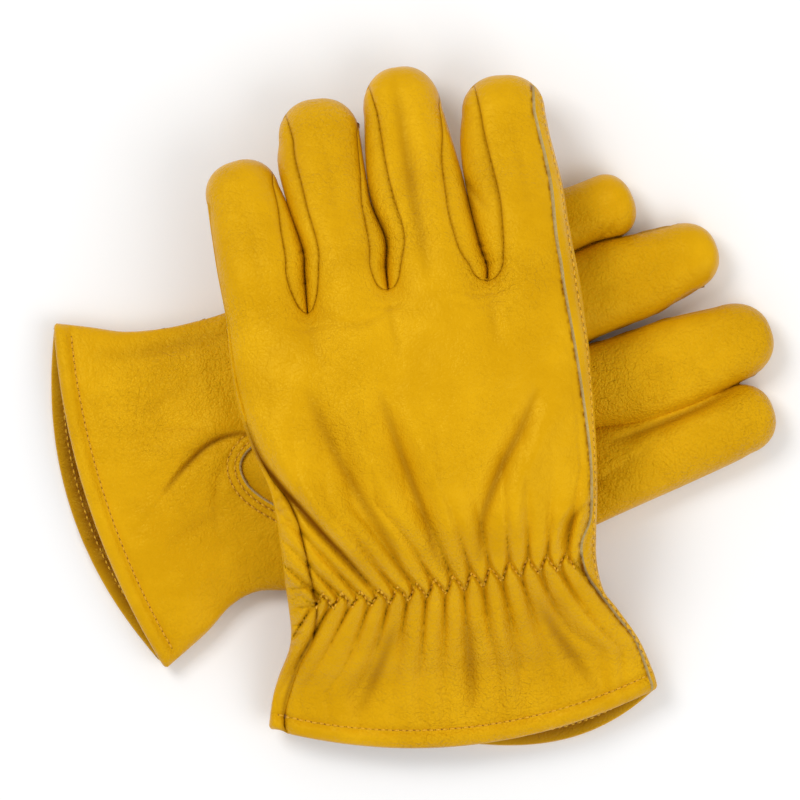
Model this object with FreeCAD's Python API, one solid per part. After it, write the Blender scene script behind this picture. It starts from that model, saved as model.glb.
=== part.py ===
"""A pair of short-cuff leather work gloves, lying crossed: the left, back up, on the right, palm up.

Each glove is sewn from a back, a palm, a keystone thumb and three fourchettes, with a wrist elastic and
the threads that hold it together.  Every leather part is a closed faceted solid of the real thickness,
hollow where the hand goes.  A glove is drawn in its own frame: x from the little finger to the index
finger, y from the cuff to the fingertips, z out of the back of the hand.  Units are millimetres.
"""
import FreeCAD, Part
import math
import os

# ---- driving dimensions ---------------------------------------------------------------------------
LEATHER = 1.2                # thickness of the leather
HEM_WIDTH = 8.0              # the cuff's turned hem, two leathers thick
THREAD = 0.7                 # side of a sewn thread's section
THREAD_SINK = 0.35           # how deep a thread lies in the leather
CUFF_Y = 3                   # the cuff's corners
CUFF_DIP = 12.5              # how far the rim bows out in the middle
CUFF_DIP_REACH = 45          # length of hand over which that bow straightens
KNUCKLE_Y = 152              # the row across the bases of the fingers
KNUCKLE_BEND_Y = 100         # from here the rows bend to meet the finger crotches
KNUCKLE_REACH = 50           # and this much further they have their bend
CROTCH_LIFT = 0.55           # height of the finger crotches, as a share of the finger's height
CROTCH_REACH = 0.25          # share of a finger's length over which it rounds out of its crotches
KEEN_SIDE = 0.9              # past this share the two outer fingers' sides come down to their outlines
TIP_ROUND = 0.75             # below 1 the fingertips are squarer than an ellipse
SIDE_BULGE = 0.75            # how far the fourchettes stand out towards a finger's outline
TIP_RIM = 0.9                # round a fingertip the fourchettes bulge towards the palm by this share
WRIST_Y = 48.0               # the gathered line at the wrist
ELASTIC_WIDTH = 7.0
ELASTIC_THICK = 1.0
ELASTIC_GAP = 0.4            # clearance between the elastic and the leather that it gathers
THUMB_THICK = 10.0           # a thumb lying flat on its palm
THUMB_GAP = 0.6              # clearance between a thumb and what lies against it
FLAT_SIDE = 8.0              # depth of the side that a glove lies on
HEM_STITCH = 5.0             # hem stitches to the rim
SHIRRING_PITCH = 6.75        # one pleat of the gathered wrist
SHIRRING_HALF = 2.7          # half the height of its zigzag
SHIRRING_FROM, SHIRRING_TO = -46.4, 47.6
LAP_STITCH = 3.8             # lap stitches to the raw edge
LAP_STITCH_SHARE = 0.3       # and no more than this share of the strip's width
THUMB_STITCHES = (1.6, 4.2)  # the two rows round the thumb's base, outside its edge
FINGERS = ("little", "ring", "middle", "index")

# Edges of one glove in its own frame.  side_little and side_index run from the cuff's corner to the
# knuckles.  Each finger's left and right edges run from its crotch to its shoulder; "tip" is how far
# the rounded end reaches past the shoulders.
LEFT_GLOVE = {
    "side_little": [(-71, 3), (-65, 20), (-58.5, 33), (-57.5, 50), (-57.3, 75), (-61, 98), (-66, 112),
                    (-69.5, 128), (-70.5, 152)],
    "side_index": [(70.5, 3), (65.5, 20), (56.5, 34), (52.7, 50), (54, 65), (56, 82), (57.7, 110),
                   (57.7, 130), (57, 152)],
    "crotches": [(-41, 149.5), (-11.5, 155), (24, 154.4)],
    "fingers": [
        {"left": [(-70.5, 152), (-72, 172), (-72.9, 192)],
         "right": [(-41, 149.5), (-41, 166), (-43.7, 185), (-47.2, 194)], "tip": 14.0},
        {"left": [(-41, 149.5), (-40.6, 166), (-43.4, 186), (-46.2, 203), (-45.5, 210)],
         "right": [(-11.5, 155), (-11.3, 170), (-14.3, 186), (-15.3, 200), (-16, 210)], "tip": 16.0},
        {"left": [(-11.5, 155), (-10.7, 170), (-13.6, 186), (-14.4, 202), (-13, 220)],
         "right": [(24, 154.4), (23.4, 166), (20.2, 184), (17.6, 204), (14.6, 221)], "tip": 15.5},
        {"left": [(24, 154.4), (24, 166), (21, 182), (19.9, 200), (21.2, 213)],
         "right": [(57, 152), (55.5, 171), (53.8, 191), (52.2, 203), (51.4, 214)], "tip": 14.5},
    ],
    "back": {"height": [(-10, 7.5), (20, 9), (48, 9), (75, 12.5), (110, 14), (150, 13)],
             "finger": 11.5, "power": 2.4, "seam": 0.6},
    "palm": {"height": [(-10, 7), (48, 7), (75, FLAT_SIDE), (150, FLAT_SIDE)],
             "finger": 7.5, "power": 3.2, "seam": 0.93},
}
RIGHT_GLOVE = {
    "side_little": [(-65.2, 1), (-60, 11), (-55, 22), (-51.7, 36), (-50.3, 50), (-51, 75), (-54, 98),
                    (-57, 120), (-58.5, 152)],
    "side_index": [(65, 1), (58.2, 16.7), (51.7, 28), (49.9, 39), (53, 51), (59, 75), (63.5, 98),
                   (66.3, 125), (66, 152)],
    "crotches": [(-29, 150), (1.5, 157), (31, 155)],
    "fingers": [
        {"left": [(-58.5, 152), (-57, 170), (-55.7, 189), (-56, 199)],
         "right": [(-29, 150), (-31, 168), (-32.7, 186), (-32.5, 200)], "tip": 12.0},
        {"left": [(-29, 150), (-30.6, 168), (-32.3, 190), (-32.5, 207), (-31.2, 221)],
         "right": [(1.5, 157), (0.8, 170), (0, 184), (-1.8, 205), (-5.6, 222)], "tip": 14.0},
        {"left": [(1.5, 157), (1.9, 170), (1.5, 184), (1, 208), (2.2, 228)],
         "right": [(31, 155), (31.8, 172), (35, 190), (34.6, 212), (31.6, 229)], "tip": 17.0},
        {"left": [(31, 155), (32.2, 172), (35.4, 190), (35, 210), (32.6, 224)],
         "right": [(66, 152), (63, 176), (60.7, 198), (58.5, 217), (57.5, 222)], "tip": 13.5},
    ],
    "back": {"height": [(-10, 7), (48, 7), (75, FLAT_SIDE), (150, FLAT_SIDE)],
             "finger": FLAT_SIDE, "power": 3.2, "seam": 0.6},
    "palm": {"height": [(-10, 7.5), (20, 9), (48, 10), (75, 11.5), (150, 11)],
             "finger": 10.5, "power": 2.4, "seam": 0.93},
}
# Where the palm leather laps round onto the back, as a share of the half-width, along y.
LAP_LITTLE = [(0, 0.93), (20, 0.88), (36, 0.83), (52, 0.85), (72, 0.92), (95, 0.975), (150, 0.985)]
LAP_INDEX = [(0, 0.975), (30, 0.95), (48, 0.86), (60, 0.88), (75, 0.94), (110, 0.93), (150, 0.93)]
LAP_INDEX_FINGER = 0.73      # the same near the tip of the index finger
# The thumb lies on the palm from its base to its tip: (y, x of its middle, half-width).
THUMB_LINE = [(44, 10, 1.5), (47, 10.5, 7), (50, 11.5, 10), (58, 15, 16), (72, 20, 19), (88, 25, 18.5),
              (108, 30, 16), (128, 34, 14.5), (142, 37, 12), (148, 38.4, 8), (151.5, 39, 1.5)]
THUMB_START, THUMB_TIP = THUMB_LINE[0], THUMB_LINE[-1]
THUMB_OPEN_TO = 84           # the thumb has no underside below this y, where it opens into the hand
THUMB_COLUMNS = (-1, -0.6, -0.2, 0.2, 0.6, 1)
THUMB_ROWS = (47, 50, 54, 60, 72, 84, 96, 108, 120, 132, 142, 148)
THUMB_STITCH_ROWS = (62, 54, 50, 47)
# Height of the left glove's middle over the floor, along its own y: it rides over the right glove.
RIDE = [(-12, 8.5), (11, 13.5), (22, 20.5), (36, 30), (44.5, 36), (51.5, 40.6), (62, 46), (80, 49.6),
        (137, 49.6), (175, 43), (205, 32), (238, 20)]

# The rows and columns of facets that a glove is built from.
HAND_ROWS = (CUFF_Y, CUFF_Y + HEM_WIDTH, 22, 36, WRIST_Y - ELASTIC_WIDTH / 2, WRIST_Y + ELASTIC_WIDTH / 2,
             62, 80, 100, 120, 137)
FINGER_ROWS = (0, 0.1, 0.25, 0.45, 0.7, 0.9, 1.0)
CAP_ROWS = (35, 65)                          # degrees round a fingertip
GROUP_COLUMNS = (-1, -0.55, 0, 0.55, 1)      # columns over one finger, as shares of its back's half
SIDE_COLUMNS = (0, 0.33, 0.67, 1)            # columns down a fourchette
# The palm's hole into the thumb: its rows, and its columns counted as 2 * finger + share.
THUMB_HOLE_ROWS = (62, 80)
THUMB_HOLE_COLUMNS = (3.45, 4, 4.55, 5, 5.45)

PLACES = {"left": {"at": (23.4, -113.4), "turn": 6.0, "up": 1},
          "right": {"at": (-104.0, -34.2), "turn": -72.1, "up": -1}}


# ---- small mathematics ----------------------------------------------------------------------------
def curve(points, t):
    """A smooth curve through the points, t from 0 to 1 by distance along them."""
    steps = [math.dist(a, b) for a, b in zip(points, points[1:])]
    want, i = t * sum(steps), 0
    while i < len(steps) - 1 and want > steps[i]:
        want -= steps[i]
        i += 1
    f = min(1.0, want / steps[i])
    p = [points[max(0, i - 1)], points[i], points[i + 1], points[min(len(points) - 1, i + 2)]]
    weights = (-0.5 * f + f * f - 0.5 * f ** 3, 1 - 2.5 * f * f + 1.5 * f ** 3,
               0.5 * f + 2 * f * f - 1.5 * f ** 3, -0.5 * f * f + 0.5 * f ** 3)
    return tuple(sum(w * q[k] for w, q in zip(weights, p)) for k in range(len(points[0])))


def table(rows, x):
    """The value at x between listed (x, value) rows, eased at each row."""
    if x <= rows[0][0]:
        return rows[0][1]
    for (x0, v0), (x1, v1) in zip(rows, rows[1:]):
        if x <= x1:
            f = (x - x0) / (x1 - x0)
            return v0 + (v1 - v0) * f * f * (3 - 2 * f)
    return rows[-1][1]


def straight(rows, x):
    """The value at x between listed (x, value) rows, on straight runs."""
    return line_at([(value, at) for at, value in rows], x)


def line_at(points, y):
    """x at height y on a straight-run line of (x, y) points."""
    for (x0, y0), (x1, y1) in zip(points, points[1:]):
        if y <= y1:
            return x0 + (x1 - x0) * max(0.0, (y - y0) / (y1 - y0))
    return points[-1][0]


def mix(a, b, f):
    """The point a share f of the way from a to b."""
    return tuple(p + (q - p) * f for p, q in zip(a, b))


def round_height(share, power):
    """Height of a superellipse at a share of its half-width."""
    return max(0.0, 1 - abs(share) ** power) ** (1 / power)


# ---- the shape of one glove -----------------------------------------------------------------------
class Glove:
    """Surface points of a glove: point(key, depth), depth measured inwards from the outer face."""

    def __init__(self, shape, place):
        self.shape = shape
        self.at, self.turn, self.up = place["at"], math.radians(place["turn"]), place["up"]

    def world(self, x, y, z):
        c, s = math.cos(self.turn), math.sin(self.turn)
        middle = straight(RIDE, y) if self.up > 0 else FLAT_SIDE
        return (self.at[0] + c * x - s * y, self.at[1] + s * x + c * y, middle + self.up * z)

    def knuckle(self, finger, share):
        """The row across the bases of the fingers, from crotch to crotch."""
        ends = [self.shape["side_little"][-1], *self.shape["crotches"], self.shape["side_index"][-1]]
        return mix(ends[finger], ends[finger + 1], (share + 1) / 2)

    def hand(self, finger, share, y, side, depth):
        """A point of the hand, on the column that leads to that share of a finger's base."""
        left, right = (line_at(self.shape[s], y) for s in ("side_little", "side_index"))
        base_x, base_y = self.knuckle(finger, share)
        first, last = self.shape["side_little"][-1][0], self.shape["side_index"][-1][0]
        across = 2 * (base_x - first) / (last - first) - 1
        if side == "back" and finger == 0 and share == -1:
            across = -table(LAP_LITTLE, y)
        if side == "back" and finger == 3 and share == 1:
            across = table(LAP_INDEX, y)
        half = (right - left) / 2 - depth
        dip = CUFF_DIP * (1 - across ** 2) * max(0.0, 1 - (y - CUFF_Y) / CUFF_DIP_REACH)
        bend = max(0.0, (y - KNUCKLE_BEND_Y) / KNUCKLE_REACH)
        level = y - dip + (base_y - KNUCKLE_Y) * bend
        form = self.shape[side]
        high = table(form["height"], y) - depth
        return ((left + right) / 2 + across * half, level, high * round_height(across, form["power"]))

    def finger(self, finger, share, row, side, depth):
        """A point of a finger; row is 0 to 1 from base to shoulder, or 1 + degrees/90 round the tip."""
        edges = self.shape["fingers"][finger]
        t = min(row, 1.0)
        left, right = curve(edges["left"], t), curve(edges["right"], t)
        middle, half = mix(left, right, 0.5), ((right[0] - left[0]) / 2, (right[1] - left[1]) / 2)
        wide = math.hypot(*half)
        shrink, reach = 1.0, 0.0
        if row > 1:
            angle = (row - 1) * math.pi / 2
            shrink, reach = math.cos(angle) ** TIP_ROUND, math.sin(angle) * (edges["tip"] - depth)
        along = (-half[1] / wide, half[0] / wide)
        form = self.shape[side]
        power, open_up = form["power"], min(1.0, t / CROTCH_REACH)
        lift = CROTCH_LIFT * (1 - open_up)
        high = (form["height"][-1][1] * (1 - t) + form["finger"] * t - depth) * shrink
        seam = form["seam"] + (1 - form["seam"]) * (1 - open_up)
        outer = (finger == 0 and share < 0) or (finger == 3 and share > 0)
        if outer and side == "back":
            knuckle_lap = LAP_INDEX[-1][1]
            seam = LAP_LITTLE[-1][1] if finger == 0 else mix((knuckle_lap,), (LAP_INDEX_FINGER,), open_up)[0]
        elif outer:
            seam = 1.0
        s = share * seam
        size = (wide - depth) * shrink * s / wide
        z = high * (1 - (1 - lift) * (1 - round_height(s, power)))
        if outer and abs(s) > KEEN_SIDE:
            z = high * round_height(s, power)
        return (middle[0] + half[0] * size + along[0] * reach,
                middle[1] + half[1] * size + along[1] * reach, z)

    def side(self, finger, end, row, share, depth):
        """A point down the side of a finger: share 0 at the back's seam, 1 at the palm's; end -1 or 1."""
        top = self.finger(finger, end, row, "back", depth)
        low = self.finger(finger, end, row, "palm", depth)
        edges = self.shape["fingers"][finger]
        t = min(row, 1.0)
        left, right = curve(edges["left"], t), curve(edges["right"], t)
        wide = math.dist(left, right) / 2
        shrink = math.cos((row - 1) * math.pi / 2) ** TIP_ROUND if row > 1 else 1.0
        rim = mix(mix(left, right, 0.5), right if end > 0 else left, (wide - depth) * shrink / wide)
        reach = (top[0] - self.finger(finger, end, t, "back", depth)[0],
                 top[1] - self.finger(finger, end, t, "back", depth)[1]) if row > 1 else (0, 0)
        bulge = math.sin(math.pi * share) * min(1.0, t / CROTCH_REACH)
        base = mix(top[:2], low[:2], share)
        rim = (rim[0] + reach[0], rim[1] + reach[1]) if row <= 1 else mix(top[:2], low[:2], TIP_RIM)
        x, y = mix(base, rim, SIDE_BULGE * bulge)
        return (x, y, top[2] * (1 - share) - low[2] * share)

    @staticmethod
    def turned(p):
        """The same point on the palm side."""
        return (p[0], p[1], -p[2])

    def surface(self, side, x, y):
        """Height of the outer face of the hand over its middle plane, on the back or the palm side."""
        left, right = (line_at(self.shape[s], y) for s in ("side_little", "side_index"))
        across = min(0.999, abs(2 * (x - left) / (right - left) - 1))
        form = self.shape[side]
        return table(form["height"], y) * round_height(across, form["power"])

    def thumb(self, face, y, share, depth):
        """A point of the thumb, lying on the palm; face is "top" or "under"."""
        line = [(row[0], row[1]) for row in THUMB_LINE], [(row[0], row[2]) for row in THUMB_LINE]
        half = max(0.4, table(line[1], y) - depth)
        x = line_at([(q, p) for p, q in line[0]], y) + share * half
        base = self.surface("palm", x, y)
        end = min(1.0, (THUMB_TIP[0] - y) / 12) * min(1.0, (y - THUMB_START[0]) / 10 + 0.15)
        rise = THUMB_THICK * (0.35 + 0.65 * round_height(share * 0.94, 2.2)) * (0.45 + 0.55 * end)
        lift = (rise - depth) if face == "top" else depth
        if abs(share) == 1 and y >= THUMB_OPEN_TO:
            lift = rise * 0.5
        elif abs(share) == 1:
            lift = 0.0
        return (x, y, base + THUMB_GAP + lift)

    def point(self, key, depth):
        kind = key[0]
        if kind == "thumb":
            return self.world(*self.turned(self.thumb(*key[1:], depth)))
        if kind in ("thumb_start", "thumb_tip"):
            y, x, _ = THUMB_START if kind == "thumb_start" else THUMB_TIP
            inward = depth if kind == "thumb_start" else -depth
            lift = THUMB_GAP + (0.0 if kind == "thumb_start" else THUMB_THICK * 0.25)
            return self.world(*self.turned((x, y + inward, self.surface("palm", x, y) + lift)))
        if kind == "hand":
            _, side, finger, share, y = key
            x, y, z = self.hand(finger, share, y, side, depth)
        elif kind == "tip":
            finger = key[1]
            shape = self.shape["fingers"][finger]
            a, b = shape["left"][-1], shape["right"][-1]
            n = math.dist(a, b)
            reach = shape["tip"] - depth
            x = (a[0] + b[0]) / 2 - (b[1] - a[1]) / n * reach
            y = (a[1] + b[1]) / 2 + (b[0] - a[0]) / n * reach
            z = 0.0
        elif kind == "side":
            x, y, z = self.side(*key[1:], depth)
        elif kind == "crotch":
            _, side, gap = key
            x, y = self.shape["crotches"][gap]
            z = (self.shape[side]["height"][-1][1] - depth) * CROTCH_LIFT
            y -= depth
        else:
            _, side, finger, share, row = key
            x, y, z = self.finger(finger, share, row, side, depth)
            if row == 0:
                y -= depth
        return self.world(x, y, -z if "palm" in key else z)


# ---- cells: quads of keys -------------------------------------------------------------------------
# Rows of a finger above its base, and then its tip.
ROWS_UP = [*FINGER_ROWS[1:], *(1 + a / 90 for a in CAP_ROWS), "tip"]


def all_rows():
    """The rows from the cuff to a fingertip, each with the name of its kind."""
    return [("hand", y) for y in HAND_ROWS] + [("finger", r) for r in (0, *ROWS_UP)]


def all_columns():
    """The columns from the little finger's outline to the index finger's, as (finger, share)."""
    return [(f, s) for f in range(4) for s in GROUP_COLUMNS[(1 if f else 0):]]


def row_key(kind, side, finger, share, row):
    return (finger_key if kind == "finger" else hand_key)(side, finger, share, row)


def finger_key(side, finger, share, row):
    """The name of a finger's point; fingers share their crotch points, and a finger's columns its tip."""
    if row == "tip":
        return ("tip", finger)
    if row == 0 and share == -1 and finger > 0:
        return ("crotch", side, finger - 1)
    if row == 0 and share == 1 and finger < 3:
        return ("crotch", side, finger)
    return ("finger", side, finger, share, row)


def hand_key(side, finger, share, y):
    """The name of a hand's point; neighbouring fingers' columns share the one between them."""
    if share == 1 and finger < 3:
        finger, share = finger + 1, -1
    return ("hand", side, finger, share, y)


def over_thumb_hole(corner):
    """Whether a cell of the palm lies under the open base of the thumb."""
    return all(k[0] == "hand" and k[-1] in THUMB_HOLE_ROWS for k in corner) and all(
        k[2] * 2 + k[3] in THUMB_HOLE_COLUMNS for k in corner)


def panel_cells(side):
    """The cells of the back or the palm, from the cuff to the fingertips."""
    cells = []
    for finger in range(4):
        rows = all_rows()
        for a, b in zip(GROUP_COLUMNS, GROUP_COLUMNS[1:]):
            for low, high in zip(rows, rows[1:]):
                corner = [row_key(kind, side, finger, share, r)
                          for (kind, r), share in ((low, a), (low, b), (high, b), (high, a))]
                if side == "back" or not over_thumb_hole(corner):
                    cells.append(corner if side == "back" else corner[::-1])
    return cells


def lap_cells():
    """The palm leather's two strips that lap round the edges of the hand onto the back."""
    cells = []
    for finger, share in ((0, -1), (3, 1)):
        rows = all_rows()
        for low, high in zip(rows, rows[1:]):
            pair = [[row_key(kind, side, finger, share, r) for kind, r in (low, high)]
                    for side in ("palm", "back")]
            corner = [pair[0][0], pair[1][0], pair[1][1], pair[0][1]]
            cells.append(corner if finger == 0 else corner[::-1])
    return cells


def side_key(finger, end, row, share):
    """The name of a fourchette's point; its edges are the edges of the back and the palm."""
    if row == "tip":
        return ("tip", finger)
    if row == 0:
        gap = finger if end > 0 else finger - 1
        return ("crotch", "back", gap) if share == 0 else (
            ("crotch", "palm", gap) if share == 1 else ("side_base", gap, share))
    if share in (0, 1):
        return finger_key("back" if share == 0 else "palm", finger, end, row)
    return ("side", finger, end, row, share)


def fourchette_cells(gap):
    """The strip that runs down one finger, round the crotch and up the next finger."""
    cells = []
    for finger, end in ((gap, 1), (gap + 1, -1)):
        rows = [0, *ROWS_UP]
        for a, b in zip(SIDE_COLUMNS, SIDE_COLUMNS[1:]):
            for low, high in zip(rows, rows[1:]):
                corner = [side_key(finger, end, low, a), side_key(finger, end, low, b),
                          side_key(finger, end, high, b), side_key(finger, end, high, a)]
                cells.append(corner if end > 0 else corner[::-1])
    return cells


def thumb_key(face, y, share):
    """The name of a thumb's point; its top and underside share their edges."""
    if abs(share) == 1:
        face = "top"
    return ("thumb", face, y, share)


def thumb_cells():
    """The thumb: its top all along, and its underside from where it leaves the hand."""
    cells = []
    for a, b in zip(THUMB_COLUMNS, THUMB_COLUMNS[1:]):
        for low, high in zip((None, *THUMB_ROWS), (*THUMB_ROWS, None)):
            for face in ("top", "under"):
                if face == "under" and (low is None or low < THUMB_OPEN_TO):
                    continue
                near = [("thumb_start",)] * 2 if low is None else [thumb_key(face, low, s) for s in (a, b)]
                far = [("thumb_tip",)] * 2 if high is None else [thumb_key(face, high, s) for s in (a, b)]
                corner = [near[0], near[1], far[1], far[0]]
                cells.append(corner if face == "under" else corner[::-1])
    return cells


# ---- solids ---------------------------------------------------------------------------------------
def closed_solid(points, triangles):
    """A solid from corner points and triangles that close round it."""
    shape = Part.Shape()
    shape.makeShapeFromMesh((points, triangles), 1e-4)
    solid = Part.makeSolid(Part.makeShell(shape.Faces))
    if solid.Volume < 0:
        solid.reverse()
    return solid


def solid_of(outer, inner, cells):
    """A closed solid: the cells on the outer face, the same on the inner face, and walls between."""
    names = sorted({k for c in cells for k in c}, key=repr)
    index = {k: i for i, k in enumerate(names)}
    points = [outer(k) for k in names] + [inner(k) for k in names]
    n = len(names)
    triangles, edges = [], {}
    for cell in cells:
        ids = []
        for k in cell:
            if not ids or index[k] != ids[-1]:
                ids.append(index[k])
        if ids[0] == ids[-1]:
            ids.pop()
        for i in range(1, len(ids) - 1):
            triangles.append((ids[0], ids[i], ids[i + 1]))
            triangles.append((n + ids[0], n + ids[i + 1], n + ids[i]))
        for a, b in zip(ids, ids[1:] + ids[:1]):
            edges[(a, b)] = edges.get((a, b), 0) + 1
    for a, b in edges:
        if (b, a) not in edges:
            triangles.append((a, n + a, b))
            triangles.append((b, n + a, n + b))
    return closed_solid([FreeCAD.Vector(*p) for p in points], triangles)


def leather(glove, cells, thick=LEATHER, skip=0.0):
    """A leather part of the given thickness, its outer face skip below the glove's outer face."""
    def at(depth):
        def place(key):
            if key[0] == "side_base":
                _, gap, share = key
                a, b = (glove.point(("crotch", s, gap), depth) for s in ("back", "palm"))
                return mix(a, b, share)
            extra = LEATHER if depth > skip and key[0] == "hand" and key[-1] <= HEM_WIDTH else 0.0
            return glove.point(key, depth + extra)
        return place
    return solid_of(at(skip), at(skip + thick), cells)


def thread(path, ups, closed=False):
    """A square-section thread along a path; ups are the outward directions of the leather under it."""
    n = len(path)
    corners, triangles = [], []
    for i, (p, up) in enumerate(zip(path, ups)):
        ahead = path[(i + 1) % n] if closed else path[min(n - 1, i + 1)]
        behind = path[i - 1] if closed else path[max(0, i - 1)]
        along = FreeCAD.Vector(*ahead) - FreeCAD.Vector(*behind)
        across = along.cross(FreeCAD.Vector(*up)).normalize()
        for side, level in ((-1, -THREAD_SINK), (1, -THREAD_SINK), (1, THREAD - THREAD_SINK),
                            (-1, THREAD - THREAD_SINK)):
            corners.append(FreeCAD.Vector(*p) + across * (side * THREAD / 2) + FreeCAD.Vector(*up) * level)
    for i in range(n if closed else n - 1):
        for k in range(4):
            a, b = 4 * i + k, 4 * i + (k + 1) % 4
            c, d = 4 * ((i + 1) % n) + k, 4 * ((i + 1) % n) + (k + 1) % 4
            triangles += [(a, b, c), (b, d, c)]
    if not closed:
        last = 4 * (n - 1)
        triangles += [(0, 2, 1), (0, 3, 2), (last, last + 1, last + 2), (last, last + 2, last + 3)]
    return closed_solid(corners, triangles)


def thread_on(glove, side, points, closed=False):
    """A thread over points of a glove's back or palm, each (x, y) or (x, y, height)."""
    path, ups = [], []
    sign = 1 if side == "back" else -1
    for p in points:
        z = p[2] if len(p) == 3 else glove.surface(side, *p)
        path.append(glove.world(p[0], p[1], sign * z))
        ups.append((0, 0, sign * glove.up))
    return thread(path, ups, closed)


# ---- the threads ----------------------------------------------------------------------------------
def outward(glove, key):
    """A point of the outer face and the direction out of the leather there."""
    outer, inner = glove.point(key, 0.0), glove.point(key, LEATHER)
    away = FreeCAD.Vector(*outer) - FreeCAD.Vector(*inner)
    return outer, tuple(away.normalize())


def hem_thread(glove):
    """One row of stitches all round the turned hem."""
    path, ups = [], []
    for side, order in (("back", 1), ("palm", -1)):
        for finger, share in all_columns()[::order]:
            outer, up = outward(glove, ("hand", side, finger, share, CUFF_Y + HEM_STITCH))
            path.append(outer)
            ups.append(up)
    return thread(path, ups, closed=True)


def wrist_thread(glove):
    """The zigzag that holds the gathers to the wrist elastic."""
    count = round((SHIRRING_TO - SHIRRING_FROM) / SHIRRING_PITCH * 2)
    points = []
    for i in range(count + 1):
        x = SHIRRING_FROM + (SHIRRING_TO - SHIRRING_FROM) * i / count
        points.append((x, WRIST_Y + (SHIRRING_HALF if i % 2 else -SHIRRING_HALF)))
    return thread_on(glove, "back", points)


def index_seam_thread(glove):
    """The row that sews the palm's lapped edge to the back, from the cuff to the index fingertip."""
    path, ups = [], []
    above_hem = [hand_key("back", 3, 1, y) for y in HAND_ROWS[1:]]
    for key in above_hem + [finger_key("back", 3, 1, r) for r in FINGER_ROWS]:
        inside = glove.point(key, 0.0)
        palm = glove.point((key[0], "palm", *key[2:]), 0.0)
        reach = math.dist(inside, palm)
        path.append(mix(inside, palm, min(LAP_STITCH_SHARE, LAP_STITCH / reach)))
        ups.append((0, 0, glove.up))
    return thread(path, ups)


def thumb_thread(glove, out):
    """A row of stitches round the base of the thumb, on the palm."""
    points = []
    for y in THUMB_STITCH_ROWS:
        half = table([(row[0], row[2]) for row in THUMB_LINE], y)
        x = line_at([(row[1], row[0]) for row in THUMB_LINE], y)
        points.append((x - half - out, y - out * 0.3))
    bottom = (THUMB_START[1], THUMB_START[0] - out)
    mirrored = [(2 * line_at([(row[1], row[0]) for row in THUMB_LINE], y + out * 0.3) - x, y)
                for x, y in points[::-1]]
    return thread_on(glove, "palm", [*points, bottom, *mirrored])


def elastic(glove):
    """The band inside the back of the wrist."""
    columns = all_columns()[2:-2]
    rows = (WRIST_Y - ELASTIC_WIDTH / 2, WRIST_Y + ELASTIC_WIDTH / 2)
    cells = [[("hand", "back", *columns[i], rows[0]), ("hand", "back", *columns[i + 1], rows[0]),
              ("hand", "back", *columns[i + 1], rows[1]), ("hand", "back", *columns[i], rows[1])]
             for i in range(len(columns) - 1)]
    return leather(glove, cells, ELASTIC_THICK, LEATHER + ELASTIC_GAP)


# ---- the pair -------------------------------------------------------------------------------------
def glove_parts(glove):
    """Every piece of one glove, by name."""
    parts = {"back_panel": leather(glove, panel_cells("back")),
             "palm_panel": leather(glove, panel_cells("palm") + lap_cells()),
             "thumb": leather(glove, thumb_cells())}
    for gap in range(3):
        parts[f"fourchette_{FINGERS[gap]}_{FINGERS[gap + 1]}"] = leather(glove, fourchette_cells(gap))
    parts["wrist_elastic"] = elastic(glove)
    parts["wrist_thread"] = wrist_thread(glove)
    parts["hem_thread"] = hem_thread(glove)
    parts["index_seam_thread"] = index_seam_thread(glove)
    for name, out in zip(("inner", "outer"), THUMB_STITCHES):
        parts[f"thumb_thread_{name}"] = thumb_thread(glove, out)
    return parts


def main():
    os.makedirs("parts", exist_ok=True)
    pair = {}
    for hand, shape in (("right", RIGHT_GLOVE), ("left", LEFT_GLOVE)):
        for name, solid in glove_parts(Glove(shape, PLACES[hand])).items():
            pair[f"{hand}_{name}"] = solid
    box = FreeCAD.BoundBox()
    for solid in pair.values():
        box.add(solid.BoundBox)
    home = FreeCAD.Vector(-box.Center.x, -box.Center.y, -box.ZMin)
    for name, solid in pair.items():
        solid.translate(home)
        print(f"{name:36s} valid {solid.isValid()}  closed {solid.isClosed()}  {solid.Volume:9.1f} mm3"
              f"  z {solid.BoundBox.ZMin:6.2f} to {solid.BoundBox.ZMax:6.2f}")
        solid.exportStep(f"parts/{name}.step")
    print(f"size {box.XLength:.2f} x {box.YLength:.2f} x {box.ZLength:.2f} mm, moved by {home}")


main()
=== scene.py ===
"""Looks of a crossed pair of leather gloves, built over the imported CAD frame.

Each glove is drawn in its own frame in millimetres: x from the little finger to the index finger, y from
the cuff to the fingertips, z out of the back of the hand.  A panel is a fine grid over the glove's
surface, with its folds, seams and gathers as real shape, and place() takes it into the scene.
"""
import math
import bmesh
import bpy
import numpy as np
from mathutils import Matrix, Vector, noise
from mathutils.bvhtree import BVHTree


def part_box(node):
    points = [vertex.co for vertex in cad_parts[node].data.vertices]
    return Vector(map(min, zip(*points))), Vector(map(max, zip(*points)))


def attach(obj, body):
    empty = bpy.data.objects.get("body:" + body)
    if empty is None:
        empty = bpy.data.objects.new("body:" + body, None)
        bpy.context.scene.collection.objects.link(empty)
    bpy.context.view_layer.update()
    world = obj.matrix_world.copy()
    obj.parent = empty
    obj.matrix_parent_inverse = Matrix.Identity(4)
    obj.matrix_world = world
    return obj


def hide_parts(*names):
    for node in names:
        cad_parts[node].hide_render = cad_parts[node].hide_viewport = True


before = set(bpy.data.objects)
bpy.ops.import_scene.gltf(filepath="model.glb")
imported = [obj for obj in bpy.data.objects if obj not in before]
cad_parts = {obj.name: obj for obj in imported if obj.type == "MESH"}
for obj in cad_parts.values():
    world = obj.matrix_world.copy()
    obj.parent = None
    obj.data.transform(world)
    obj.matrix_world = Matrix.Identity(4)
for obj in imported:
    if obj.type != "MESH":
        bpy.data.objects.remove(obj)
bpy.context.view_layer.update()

MM = 0.001                   # metres; lengths below are in millimetres where nothing else is said
LEATHER = 1.15               # thickness of the back, the palm and the thumb
FOURCHETTE_LEATHER = 0.9     # thickness of the strips between the fingers
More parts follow.
